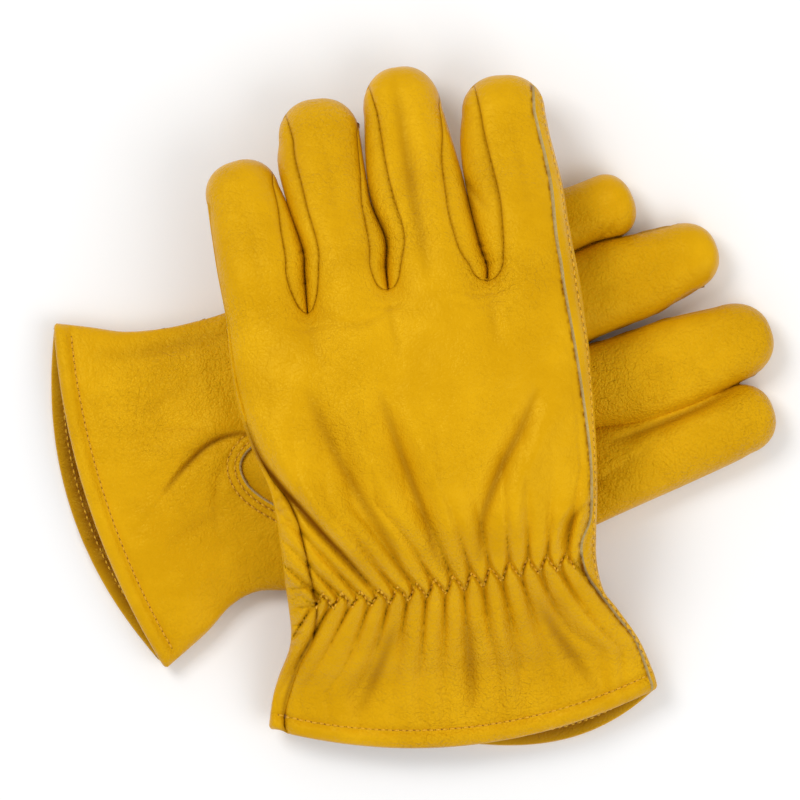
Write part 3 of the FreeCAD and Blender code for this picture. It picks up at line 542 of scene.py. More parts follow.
    def finger_point(self, finger, share, row, side):
        """Points of a finger's outer face; row is 0 to 1 up to the shoulder, and 1 to 2 round the tip."""
        t = np.clip(row, 0, 1)
        outlines = []
        for line in self.edges[finger]:
            number = np.arange(len(line))
            outlines.append(np.stack([np.interp(t * number[-1], number, line[:, k]) for k in (0, 1)], -1))
        left, right = outlines
        round_tip = np.clip(row - 1, 0, 1)
        middle, half = (left + right) / 2, (right - left) / 2
        wide = np.linalg.norm(half, axis=-1)
        ahead = np.stack([-half[..., 1], half[..., 0]], -1) / wide[..., None]
        reach = self.shape["fingers"][finger]["tip"] * np.sin(round_tip * TIP_TURN) ** 0.95
        spot = middle + half * (share * tip_width(row))[..., None] + ahead * reach[..., None]
        form = self.shape[side]
        high = form["height"][-1][1] * (1 - t) + form["finger"] * t
        z = high * crown(share, form["power"]) * np.sqrt(np.maximum(0, 1 - round_tip ** 2.6))
        plain = self.hand_height(side, spot[..., 0], spot[..., 1])
        blend = ramp(t, 0.0, 0.42)
        return np.stack([spot[..., 0], spot[..., 1], plain * (1 - blend) + z * blend], -1)

    def seam_share(self, finger, row, side):
        """Shares of a finger's width at which the back or palm panel ends, left and right."""
        t = np.clip(row, 0, 1)
        drift = (1 + SEAM_DRIFT * np.clip(row - 1, 0, 1)) / tip_width(row)
        if side == "back":
            rows = smooth_line(self.shape["fingers"][finger]["seams"], 300)
            low = np.interp(t, rows[:, 0], rows[:, 1]) * drift
            high = np.interp(t, rows[:, 0], rows[:, 2]) * (1 / tip_width(row) if finger == 3 else drift)
        else:
            edge = 1 - (1 - self.shape["palm_seam"]) * ramp(t, 0, 0.3) * (1 - ramp(row, 1.0, 1.35))
            low = -edge if finger else -np.ones_like(edge)
            high = edge if finger < 3 else np.ones_like(edge)
        return np.maximum(low, -1), np.minimum(high, 1)


def tip_width(row):
    """How much of its width a finger has left at a row; it narrows from row 1 to 2."""
    return np.cos(np.clip(row - 1, 0, 1) * TIP_TURN) ** 0.86


def until_shut(rows, *shares):
    """The rows up to the first, round the fingertip, at which every share has run out to the outline."""
    shut = (rows > 1) & (np.min(np.abs(shares), axis=0) >= 1)
    return rows[:np.argmax(shut) + 1] if shut.any() else rows


def columns_for(crowd):
    """Column values across one finger's block; crowd is 1 in rows whose columns gather at the seams."""
    even = np.linspace(0, 1, int(FINGER_GRID_WIDTH / FINE) + 1)[None, :]
    edged = 0.35 * even + 0.65 * (0.5 - 0.5 * np.cos(np.pi * even))
    return even * (1 - crowd) + edged * crowd


def section(glove, side, level, share):
    """x and y on the hand's outer face at levels up the hand and shares of its width."""
    left, right = glove.sides(level)
    x = (left + right) / 2 + share * (right - left) / 2
    fading = np.clip(1 - (level - glove.shape["cuff"]) / RIM_FADE, 0, 1) ** 1.5
    return x, level - glove.dip(side, share) * fading


def hem(glove, hand):
    """Rows that turn the cuff's edge in: round the rim, then back up the inside."""
    half = (glove.shape["side_index"][0][0] - glove.shape["side_little"][0][0]) / 2
    spacing = (KNUCKLE_Y - glove.shape["cuff"]) / (len(HAND_ROWS) - 1)
    turned = []
    for depth, reach, _ in HEM_TURN:
        row = max(0.0, reach) / spacing
        k = int(row)
        spot = hand[k] * (1 - row + k) + hand[k + 1] * (row - k)
        turned.append(np.stack([spot[:, 0] * (1 - depth / half), spot[:, 1] + min(0.0, reach),
                                np.maximum(0, spot[:, 2] - depth)], -1))
    return np.stack(turned)


def whole_block(glove, side, finger, level, x, y, share, row):
    """A block of grid points: the turned hem, the hand up to the knuckles, and then the finger."""
    knuckle, following = glove.knuckles[finger:finger + 2, 1]
    base = knuckle + (following - knuckle) * (share[0] + 1) / 2
    y = y + (base[None, :] - KNUCKLE_Y) * ramp(level, ROWS_BEND, KNUCKLE_Y)
    hand = np.stack([x, y, glove.hand_height(side, x, y)], -1)
    return np.concatenate([hem(glove, hand), hand[:-1], glove.finger_point(finger, share, row, side)])


def panel(glove, side):
    """Grid points of the back or the palm: one block per finger, rows from the cuff to the fingertip."""
    level = glove.level(HAND_ROWS)[:, None]
    left, right = glove.sides(level)
    spread = share_at(glove.knuckles[:, 0], glove.knuckles[0, 0], glove.knuckles[-1, 0])
    bounds = [np.full_like(level, s) for s in spread]
    if side == "back":
        low, high = [share_at(at_y(glove.shape[edge], level), left, right)
                     for edge in ("edge_little", "edge_index")]
        settle = ramp(level, 60, KNUCKLE_Y)
        bounds = [(low + (high - low) * (b + 1) / 2) * (1 - settle) + b * settle for b in bounds]
        under = UNDERLAP / (right - left) * 2
        bounds[0], bounds[-1] = low, np.minimum(high + under, np.maximum(high, UNDER_LIMIT))
    blocks = []
    for finger in range(4):
        u, v = columns_for(ramp(level, 120, KNUCKLE_Y)), columns_for(np.ones((len(FINGER_ROWS), 1)))
        # Columns crowd together at an outer outline, where the surface turns over.
        low_power = 1.6 if finger == 0 else 1.0
        high_power = 1.6 if finger == 3 and side == "palm" else 1.0
        u, v = [1 - (1 - w ** low_power) ** high_power for w in (u, v)]
        x, y = section(glove, side, level, bounds[finger] + (bounds[finger + 1] - bounds[finger]) * u)
        row = FINGER_ROWS[:, None] * np.ones_like(v)
        low, high = glove.seam_share(finger, row, side)
        if side == "back" and finger == 3:
            under = UNDERLAP / 16 * (1 - ramp(row, 1.0, 1.4))
            high = np.minimum(high + under, np.maximum(high, UNDER_LIMIT))
        blocks.append(whole_block(glove, side, finger, level, x, y, low + (high - low) * v, row))
    return blocks


def lap_strip(glove, end, v, inward=0.0):
    """Columns from an outline of the hand, v = 0, to the back panel's edge, v = 1, and inward past it."""
    finger, edge, which = (3, "edge_index", 1) if end > 0 else (0, "edge_little", 0)
    level = glove.level(HAND_ROWS)[:, None]
    left, right = glove.sides(level)
    stop = share_at(at_y(glove.shape[edge], level), left, right)
    share = end + (stop - end) * v - end * inward * 2 / (right - left)
    x, y = section(glove, "back", level, share)
    _, palm_y = section(glove, "palm", level, share)
    y = palm_y + (y - palm_y) * v
    rows = until_shut(FINGER_ROWS, glove.seam_share(finger, FINGER_ROWS, "back")[which])
    row = rows[:, None] * np.ones_like(v)
    share = end + (glove.seam_share(finger, row, "back")[which] - end) * v - end * inward / 14
    return whole_block(glove, "back", finger, level, x, y, share, row)


def laps(glove, lines):
    """The palm leather from each outline of the hand up onto the back, and its cut edge: dressed blocks."""
    v = np.linspace(0, 1, int(LAP_GRID_WIDTH / FINE) + 1)[None, :] ** 1.7
    little, little_dark = dress(glove, "back", lap_strip(glove, -1, v), lines, lapped=True)
    index, index_dark = dress(glove, "back", lap_strip(glove, 1, v), lines, lapped=True)
    foot, _ = dress(glove, "back", lap_strip(glove, 1, np.ones((1, 1)), RAW_EDGE), lines)
    foot[..., 2] -= 0.3
    cut = np.concatenate([foot, index[:, -1:]], 1)
    # painted shade under the cut edge: its foot darker than its top
    cut_dark = np.zeros(cut.shape[:2]) + [0.6, 0]
    return [(little, little_dark), (index[:, ::-1], index_dark[:, ::-1]), (cut, cut_dark)]


def seam_lines(glove, side):
    """The lines, seen from above, along which the side's finger panels are sewn to the fourchettes."""
    lines = []
    rows = np.concatenate([np.linspace(0, 0.1, 9), np.linspace(0.12, 1.9, 44)])
    for finger in range(4):
        for share, outer in zip(glove.seam_share(finger, rows, side), (finger == 0, finger == 3)):
            if not outer:
                t = until_shut(rows, share)
                lines.append(glove.finger_point(finger, share[:len(t)], t, side)[:, :2])
    return lines


def seam_grooves(x, y, lines, strength):
    """Depth of the grooves along the finger seams, with their puckers, and the painted shade in them."""
    groove, dark = np.zeros_like(x), np.zeros_like(x)
    for line in lines:
        gap, along, _ = line_distance(x, y, line)
        pucker = 1 + 0.35 * np.sin(along * len(line) * 4.1 + 2 * np.sin(along * 17))
        groove -= SEAM_DEPTH * strength * bell(gap, SEAM_WIDTH, 1.5)
        groove -= PUCKER_DEPTH * pucker * bell(gap, PUCKER_WIDTH)
        # painted shade in the seam's groove
        dark += 0.62 * strength * bell(gap, 0.34, 1.5)
    return groove, dark


def back_edges(glove, x, y, lapped):
    """The relief and the shade along the back panel's two edges, on the lap or on the panel under it."""
    gap, _, _ = line_distance(x, y, smooth_line(glove.shape["edge_little"], 60))
    low = 1 - 0.85 * ramp(y, 78, 96)
    groove = -2.0 * bell(gap, 1.6, 1.2) * low
    # painted shade in the groove along the little side's seam
    dark = 0.5 * bell(gap, 0.85) * low
    gap = glove.lap_gap(x, y)
    if lapped:
        groove += RAW_EDGE * bell(np.maximum(gap, 0), 9) - 0.6 * bell(gap - LAP_ROW, 0.9)
        dark += 0.25 * bell(gap - LAP_ROW, 0.5)
    else:
        # Painted shadow under the lap's raw edge, on the back panel beside it, broken up by noise
        ragged_shadow = 0.5 + 0.5 * wander(x, y, 1.3, 4.4)
        groove -= 0.35 * bell(np.maximum(-gap, 0), 2.2, 1) * (gap <= 0)
        dark += ragged_shadow * bell(np.maximum(-gap - RAW_EDGE, 0), 0.6) * (gap <= 0)
    return groove, dark


def thumb_grooves(x, y):
    """The palm round the thumb's hole: a swollen edge, and a groove and a shade under each stitch row."""
    gap, _, inner = line_distance(x, y, smooth_line(THUMB_EDGE, 60))
    groove, dark = 0.6 * bell(gap, 6), np.zeros_like(x)
    for row in THUMB_ROWS:
        groove -= 0.45 * bell(-gap * inner - row, 0.7)
        dark += 0.3 * bell(-gap * inner - row, 0.5)
    return groove, dark


def dress(glove, side, block, lines, lapped=False, hemmed=True):
    """Adds folds and seam grooves to a block; gives back the block and the painted shade at each point."""
    x, y, z = block[..., 0], block[..., 1], block[..., 2]
    relief, dark = glove.relief(side, x, y)
    if hemmed:
        # painted shade on the rows turned in at the hem, inside the cuff
        dark[:len(HEM_TURN)] += np.array([shade for _, _, shade in HEM_TURN])[:, None]
    strength = 0.25 if side == "palm" and glove.hidden_seams else 1.0
    edges = back_edges(glove, x, y, lapped) if side == "back" else thumb_grooves(x, y)
    groove = 0
    for depth, shade in (seam_grooves(x, y, lines, strength), edges):
        groove, dark = groove + depth, dark + shade
    out = block.copy()
    out[..., 2] = z + relief * ramp(z, 0.0, 4.0) + groove * ramp(z, 0.0, 1.5)
    return out, np.clip(dark, 0, 1)


# ---- meshes ---------------------------------------------------------------------------------------
def mesh_object(name, glove, blocks, painted_shades, materials, slots=None, cut=None):
    """One object from grid blocks, their shared edges merged; slots gives each block's material."""
    points, faces, slot, offset = [], [], [], 0
    for block, number in zip(blocks, slots or [0] * len(blocks)):
        rows, cols = block.shape[:2]
        points.append(block.reshape(-1, 3))
        i = np.arange(rows * cols).reshape(rows, cols) + offset
        quads = np.stack([i[:-1, :-1], i[:-1, 1:], i[1:, 1:], i[1:, :-1]], -1).reshape(-1, 4)
        faces.append(quads)
        slot.append(np.full(len(quads), number))
        offset += rows * cols
    points, faces, slot = np.concatenate(points), np.concatenate(faces), np.concatenate(slot)
    if cut is not None:
        kept = ~cut(points, faces) | (slot > 0)
        faces, slot = faces[kept], slot[kept]
    if glove.shape["up"] < 0:
        faces = faces[:, ::-1]
    painted_shade = np.concatenate([deep.ravel() for deep in painted_shades])
    return finish_mesh(name, glove.place(points), faces, painted_shade, materials, slot)


def finish_mesh(name, points, faces, painted_shade, materials, slots, merge=1e-5):
    """A smooth object from points and quads, with its painted shade and material slots."""
    mesh = bpy.data.meshes.new(name)
    mesh.from_pydata(points.tolist(), [], [list(dict.fromkeys(f)) for f in faces.tolist()])
    mesh.polygons.foreach_set("material_index", np.asarray(slots, np.int32))
    # painted shade per point: how far the grain's colour is darkened in folds, seams and hollows
    layer = mesh.attributes.new("painted_shade", "FLOAT", "POINT")
    layer.data.foreach_set("value", np.asarray(painted_shade, np.float32))
    work = bmesh.new()
    work.from_mesh(mesh)
    if merge:
        bmesh.ops.remove_doubles(work, verts=work.verts, dist=merge)
    bmesh.ops.dissolve_degenerate(work, edges=work.edges, dist=1e-7)
    loose = [v for v in work.verts if not v.link_faces]
    bmesh.ops.delete(work, geom=loose, context="VERTS")
    work.to_mesh(mesh)
    work.free()
    mesh.shade_smooth()
    for m in materials:
        mesh.materials.append(m)
    piece = bpy.data.objects.new(name, mesh)
    bpy.context.scene.collection.objects.link(piece)
    return piece


def thicken(piece, thickness=LEATHER):
    """Gives a sheet its thickness inwards, with suede inside and the grain's colour on its rim."""
    solid = piece.modifiers.new("thickness", "SOLIDIFY")
    solid.thickness = thickness * MM
    solid.offset = -1
    solid.use_rim = True
    solid.material_offset = 1
    solid.material_offset_rim = 0


def thin_out(piece, ends):
    """Lets a thickened strip grow thin towards its ends, where it runs out between its neighbours."""
    group = piece.vertex_groups.new(name="thickness")
    for vertex in piece.data.vertices:
        near = min((vertex.co - end).length for end in ends)
        group.add([vertex.index], min(1.0, near / THIN_REACH), "REPLACE")
    solid = piece.modifiers["thickness"]
    solid.vertex_group = group.name
    solid.thickness_vertex_group = THIN_SHARE


def share_edge(palm_block, palm_column, lap_block, lap_column):
    """Brings the palm's outer column and the lap's onto the same points, so that no gap is left."""
    rows = len(lap_block)
    shared = (palm_block[:rows, palm_column] + lap_block[:, lap_column]) / 2
    palm_block[:rows, palm_column] = shared
    lap_block[:, lap_column] = shared


def fourchette(glove, gap):
    """The strip down the side of one finger, round the crotch and up the side of the next."""
    w = np.linspace(0, 1, FOURCHETTE_COLUMNS)[None, :, None]
    seams = {side: seam_lines(glove, side) for side in ("back", "palm")}
    seam_shade, touch_shade = (0.2, 0.25) if glove.hidden_seams else (0.42, 0.42)
    blocks, painted_shades = [], []
    for finger, end, which in ((gap, 1, 1), (gap + 1, -1, 0)):
        ends = [glove.seam_share(finger, FINGER_ROWS, side)[which] for side in seams]
        rows = until_shut(FINGER_ROWS, *ends)[:-1]
        rims = []
        for side, lines in seams.items():
            share = glove.seam_share(finger, rows, side)[which]
            rim = glove.finger_point(finger, share, rows, side)[:, None, :]
            rims.append(dress(glove, side, rim, lines, hemmed=False)[0] * FACING[side])
        outline, inner = [glove.finger_point(finger, np.full_like(rows, share), rows, "back")[:, None, :2]
                          for share in (end, 0.4 * end)]
        shut = ramp(rows, 1.0, rows[-1])[:, None, None]
        # Across the strip a Bezier curve, whose middle touches the finger's outline.
        rise = (1 - shut) * [0, 0, 0.5]
        p0, p3 = rims
        p1, p2 = p0 + rise, p3 - rise
        p1[..., :2] += (outline - p0[..., :2]) / 0.75
        p2[..., :2] += (outline - p3[..., :2]) / 0.75
        strip = (1 - w) ** 3 * p0 + 3 * (1 - w) ** 2 * w * p1 + 3 * (1 - w) * w ** 2 * p2 + w ** 3 * p3
        bend, dark = folds(strip[..., 0], strip[..., 1], glove.shape["crotch_folds"])
        open_share = (4 * w * (1 - w) * (1 - shut))[..., 0]
        strip[..., 2] += wander(strip[..., 0], strip[..., 1] + strip[..., 2], 8, 5.5) * 0.15 * open_share
        strip[..., 2] += bend * open_share
        inward = inner - outline
        inward /= np.maximum(np.linalg.norm(inward, axis=-1, keepdims=True), 1e-6)
        round_tip = np.clip((rows - 1) / (rows[-1] - 1), 0, 1)[:, None, None]
        strip[..., :2] += inward * TUCK * round_tip ** TUCK_POWER
        # Painted shade along both seams, and where the two fingers' sides touch near the crotch.
        length = np.linalg.norm(p3 - p0, axis=-1) + 6
        seam = bell(np.minimum(w, 1 - w)[..., 0] * length, 0.9, 1) * seam_shade * (1 - shut[..., 0])
        touching = (ramp(rows, 0.0, 0.06) * (1 - ramp(rows, 0.45, 0.75)))[:, None]
        rough = 1 + 0.3 * np.sin(rows * 190)[:, None] * (1 - ramp(rows, 0.2, 0.35))[:, None]
        wide = (0.8 + 1.6 * ramp(rows, 0.08, 0.35))[:, None] * rough
        touch = bell(np.abs(w[..., 0] - TOUCH_SHARE) * length, wide) * touching * touch_shade
        dark = np.clip(seam + touch + dark * open_share, 0, 1)
        blocks.append(strip if end > 0 else strip[:, ::-1])
        painted_shades.append(dark if end > 0 else dark[:, ::-1])
    return blocks, painted_shades


def thumb_sheet(glove):
    """The thumb pouch lying on the palm, coming out from under the hole's edge."""
    y = np.concatenate([np.arange(THUMB_ROOT, THUMB_FINER, FINE),
                        np.arange(THUMB_FINER, THUMB_TIP + THUMB_ROUND, 0.5 * FINE)])
    middle_x, half = [eased([(r[0], r[k]) for r in THUMB_LINE], y) for k in (1, 2)]
    # Each row is a loop round the pouch; over is positive on its outer face and negative underneath.
    angle = np.linspace(0, 2 * math.pi, int(THUMB_GRID_WIDTH / FINE) + 1)[None, :]
    across, over = np.cos(angle), np.sin(angle)
    px = middle_x[:, None] + half[:, None] * np.sign(across) * np.abs(across) ** 0.85
    py = y[:, None] + 0 * px
    tip = np.sqrt(np.clip(1 - (y - THUMB_TIP) / THUMB_ROUND, 0, 1))[:, None]
    # root and out: how far each row has come away from the seam, and out of the hole onto the palm.
    root = ramp(y, THUMB_ROOT, 60)[:, None]
    out = ramp(y, 66, 84)[:, None]
    gap, _, inner = line_distance(px, py, smooth_line(THUMB_EDGE, 60))
    sunk = -1.35 + 3.6 * ramp(gap * inner, 0.2, 11)
    top = np.where(over > 0, np.abs(over) ** 0.8, 0)
    low = np.where(over < 0, np.abs(over) ** 0.8, 0)
    middle = THUMB_THICK * 0.5 * tip
    free = middle + 0.6 + top * (middle + 2.5 * (1 - out)) - low * middle * 0.9
    lift = np.where(over > 0, sunk, -1.6 - low * middle * root * 0.6) * (1 - out) + free * out
    z = glove.hand_height("palm", px, py) + lift + wander(px, py + over * 20, 10, 2.2) * 0.3
    z += folds(px, py, THUMB_FOLDS)[0] * (over > 0)
    # painted shade: the pouch darker down its sides and underneath, away from its top
    painted_shade = np.clip(0.5 - top * 1.2, 0, 0.5) * out
    return np.stack([px, py, z], -1) * FACING["palm"], painted_shade


def in_thumb_hole(points, faces):
    """Faces of the palm inside the thumb's hole."""
    x, y, z = points[faces].mean(1).T
    _, _, side = line_distance(x, y, smooth_line(THUMB_EDGE, 80))
    low, high = THUMB_HOLE_SIDES
    return (side > 0) & (z < 0) & (y < THUMB_HOLE_TOP) & (y > THUMB_HOLE_FOOT) & (x > low) & (x < high)


def snapped(block):
    """Moves the points nearest the edge of the thumb's hole onto it, so that the cut runs smoothly."""
    edge = smooth_line(THUMB_EDGE, 80)
    gap, along, _ = line_distance(block[..., 0], block[..., 1], edge)
    near = (gap < 0.5 * FINE) & (block[..., 1] < THUMB_HOLE_TOP)
    number = np.arange(len(edge))
    out = block.copy()
    for k in (0, 1):
        out[..., k] = np.where(near, np.interp(along * number[-1], number, edge[:, k]), block[..., k])
    return out


def thumb_rim(glove):
    """The cut edge of the palm round the thumb: a strip from the palm's face down into the hole."""
    edge = smooth_line(THUMB_EDGE, 150)
    rows = []
    for reach, drop in ((-0.2, -0.1), (0.2, 0.02), (0.55, 0.8), (0.6, 1.6)):
        x, y = beside(edge, -reach).T
        top = np.stack([x, y, glove.hand_height("palm", x, y)], -1)[:, None, :]
        top, _ = dress(glove, "palm", top, [], hemmed=False)
        top[..., 2] -= drop
        rows.append(top)
    block = np.concatenate(rows, 1)
    # painted shade: the rows down into the hole darker, the deepest darkest
    return block * FACING["palm"], np.zeros(block.shape[:2]) + [0, 0, 0.35, 0.9]


def band(glove, material):
    """The ribbed elastic inside the back of the wrist."""
    x = np.linspace(-ELASTIC_LENGTH / 2, ELASTIC_LENGTH / 2, 120)[None, :]
    y = np.linspace(-ELASTIC_WIDTH / 2, ELASTIC_WIDTH / 2, 30)[:, None]
    px, py = x + 0 * y, glove.gather_y(x) - 1.0 + y
    ribs = 0.18 * np.cos(y * 2 * math.pi / ELASTIC_RIB)
    waves = 0.25 * np.cos(2 * math.pi * px / GATHER_PITCH)
    z = glove.hand_height("back", px, py) - ELASTIC_DEPTH + waves + ribs
    piece = mesh_object("elastic", glove, [np.stack([px, py, z], -1)], [np.zeros_like(z)], [material])
    solid = piece.modifiers.new("thickness", "SOLIDIFY")
    solid.thickness, solid.offset = ELASTIC_THICK * MM, -1
    return piece


# ---- thread ---------------------------------------------------------------------------------------
class Skin:
    """A glove's built leather, to be asked where its face is above or below a point."""

    def __init__(self, glove, pieces):
        self.glove = glove
        points, faces = [], []
        for p in pieces:
            base = len(points)
            points += [v.co.copy() for v in p.data.vertices]
            faces += [[base + i for i in f.vertices] for f in p.data.polygons]
        self.tree = BVHTree.FromPolygons(points, faces)

    def hit(self, side, x, y):
        """The skin's point and normal on the back, the palm, or the inside of either."""
        way = self.glove.shape["up"] * (-1 if side in ("back", "inside palm") else 1)
        start = {"back": 30.0, "palm": -30.0}.get(side, 0.0)
        outer = self.glove.place(np.array([x, y, start]))
        spot, normal, _, _ = self.tree.ray_cast(Vector(outer), Vector((0, 0, way)))
        if spot is None:
            return None
        return spot, -normal if normal.z * way > 0 else normal


def add_stitch(points, faces, ends, thick):
    """Adds one stitch, a bowed thread through three skin points that dives in at both ends."""
    (a, _), (m, normal), (b, _) = ends
    ahead = (b - a).normalized()
    across = ahead.cross(normal).normalized()
    rise = across.cross(ahead)
    if rise.dot(normal) < 0:
        rise = -rise
    start = len(points)
    for j in range(STITCH_PARTS + 1):
        f = j / STITCH_PARTS
        bulge = math.sin(math.pi * (0.08 + 0.84 * f)) ** 0.6
        bow = 4 * f * (1 - f) * 0.5
        centre = a.lerp(b, f) * (1 - bow) + m * bow + normal * (0.42 * bulge - 0.30) * MM
        for k in range(STITCH_SIDES):
            turn = 2 * math.pi * k / STITCH_SIDES
            out = across * math.cos(turn) + rise * math.sin(turn)
            points.append(centre + out * thick * 0.5 * bulge * MM)
    for j in range(STITCH_PARTS):
        low, high = start + j * STITCH_SIDES, start + (j + 1) * STITCH_SIDES
        for k in range(STITCH_SIDES):
            q = (k + 1) % STITCH_SIDES
            faces.append([low + k, low + q, high + q, high + k])
    # Painted shade: a small dark quad at each end of the stitch stands in for the shade in its needle hole
    for spot, way in ((a, -1), (b, 1)):
        first = len(points)
        centre = spot + ahead * way * 0.20 * MM + normal * 0.07 * MM
        for dx, dy in ((-1, -1), (1, -1), (1, 1), (-1, 1)):
            points.append(centre + (ahead * dx * 0.16 + rise.cross(ahead) * dy * 0.24) * MM)
        faces.append([first, first + 1, first + 2, first + 3])


def stitch_row(name, skin, side, line, stitch, materials):
    """Separate sunk stitches along a line of (x, y) points, with a small dark quad of painted needle-hole
    shade at each end.
    """
    pitch, length, thick = stitch
    p = np.array(line, float)
    along = travelled(p)
    count = int(along[-1] / pitch)
    points, faces = [], []
    for i in range(count):
        middle = (i + 0.5) * along[-1] / count
        ends = []
        for at in (middle - length / 2, middle, middle + length / 2):
            spot = [float(np.interp(at, along, p[:, k])) for k in (0, 1)]
            jog = STITCH_WOBBLE * math.sin(i * 7.3 + at * 0.9)
            ends.append(skin.hit(side, spot[0] + jog, spot[1] + jog * 0.5))
        if None not in ends and (ends[0][0] - ends[2][0]).length <= length * LONGEST_STITCH * MM:
            add_stitch(points, faces, ends, thick)
    one = [0] * (STITCH_PARTS * STITCH_SIDES) + [1, 1]
    slots = one * (len(faces) // len(one))
    return finish_mesh(name, np.array(points), np.array(faces), np.zeros(len(points)), materials, slots, 0)


def sew(glove, hand, skin, twine, keep):
    """The visible thread of one glove."""
    left, right = glove.sides(HEM_WIDTH)
    px = (left + right) / 2 + np.linspace(-HEM_SPREAD, HEM_SPREAD, 160) * (right - left) / 2
    rows = []
    for side in ("back", "palm"):
        for inside, up in (("", HEM_ROW), ("inside ", HEM_ROW_INSIDE)):
            line = np.stack([px, glove.rim_y(side, px) + up], 1)
            rows.append(stitch_row("hem", skin, inside + side, line, HEM_STITCH, twine))
    keep(join(rows), f"{hand}_hem_thread", "thread")
    zigzag = []
    for i in range(2 * GATHER_COUNT + 1):
        x = GATHER_LOW[0][0] + i * GATHER_PITCH / 2
        zigzag.append((x, float(eased(GATHER_LOW, x)) + (GATHER_RISE if i % 2 else 0.0)))
    keep(stitch_row("zigzag", skin, "back", zigzag, WRIST_STITCH, twine), f"{hand}_wrist_thread", "thread")
    line = beside(glove.lap_line, LAP_ROW)
    line = line[line[:, 1] > 7]
    line[:, 0] = np.minimum(line[:, 0], glove.sides(line[:, 1])[1] - LAP_ROW_SIDE)
    keep(stitch_row("lap", skin, "back", line, LAP_STITCH, twine), f"{hand}_index_seam_thread", "thread")
    for name, out in zip(("inner", "outer"), THUMB_ROWS):
        line = beside(smooth_line(THUMB_EDGE, 120), out)
        row = stitch_row(name, skin, "palm", line, THUMB_STITCH, twine)
        keep(row, f"{hand}_thumb_thread_{name}", "thread")


def join(pieces):
    """Joins pieces into the first."""
    with bpy.context.temp_override(active_object=pieces[0], object=pieces[0], selected_objects=pieces,
                                   selected_editable_objects=pieces):
        bpy.ops.object.join()
    return pieces[0]


# ---- materials ------------------------------------------------------------------------------------
class Nodes:
    """Short hand for building a material's nodes."""

    def __init__(self, name):
        self.material = bpy.data.materials.new(name)
        self.material.use_nodes = True
        self.tree = self.material.node_tree
        self.shader = self.tree.nodes["Principled BSDF"]
        self.where = self.add("ShaderNodeTexCoord").outputs["Object"]

    def add(self, kind, inputs=None, **settings):
        """A new node with its settings; inputs are values or other nodes' outputs, by socket name."""
        node = self.tree.nodes.new(kind)
        for key, value in settings.items():
            setattr(node, key, value)
        for key, value in (inputs or {}).items():
            self.feed(node.inputs[key], value)
        return node

    def feed(self, socket, value):
        """Gives a socket a number, a vector, a colour (three numbers) or another node's output."""
        if isinstance(value, bpy.types.NodeSocket):
            self.tree.links.new(value, socket)
        elif socket.type == "RGBA":
            socket.default_value = (*value, 1)
        else:
            socket.default_value = value

    def noise(self, scale, detail=4, rough=0.55, stretch=None):
        """Cloudy noise; scale is its grains to a metre."""
        where = self.where
        if stretch:
            where = self.add("ShaderNodeMapping", {"Scale": stretch, "Vector": where}).outputs["Vector"]
        return self.add("ShaderNodeTexNoise", {"Scale": scale, "Detail": detail, "Roughness": rough,
                                               "Vector": where}).outputs["Fac"]

    def cells(self, scale, warp, feature="F1"):
        """Distance from the middles of scattered cells, or from their borders."""
        node = self.add("ShaderNodeTexVoronoi", feature=feature)
        self.feed(node.inputs["Scale"], scale)
        self.feed(node.inputs["Vector"], warp)
        return node.outputs["Distance"]

    def ramp(self, value, low, high, to_low=0.0, to_high=1.0):
        """A value taken from one range to another, and kept inside it."""
        return self.add("ShaderNodeMapRange", {"Value": value, "From Min": low, "From Max": high,
                                               "To Min": to_low, "To Max": to_high}).outputs["Result"]

    def math(self, operation, a, b):
        """One operation on two values."""
        return self.add("ShaderNodeMath", {0: a, 1: b}, operation=operation).outputs["Value"]

    def mix(self, factor, a, b):
        """Mixes two colours; the node's colour sockets are found by number, as their names repeat."""
        return self.add("ShaderNodeMix", {0: factor, 6: a, 7: b}, data_type="RGBA").outputs[2]

    def warped(self, scale, strength):
        """The place, pushed about by noise, so that cells aren't too regular."""
        noisy = self.add("ShaderNodeTexNoise", {"Scale": scale, "Vector": self.where}).outputs["Color"]
        inputs = {0: noisy, 1: (strength, strength, strength), 2: self.where}
        return self.add("ShaderNodeVectorMath", inputs, operation="MULTIPLY_ADD").outputs["Vector"]

    def bump(self, height, distance, strength=1.0, under=None):
        """The normal of a relief of so many metres, laid over another bump's normal."""
        inputs = {"Distance": distance, "Strength": strength, "Height": height}
        if under is not None:
            inputs["Normal"] = under
        return self.add("ShaderNodeBump", inputs).outputs["Normal"]

    def surface(self, **inputs):
        """Sets the shader's inputs by their names, with _ for a space, and gives back the material."""
        for key, value in inputs.items():
            self.feed(self.shader.inputs[key.replace("_", " ")], value)
        return self.material


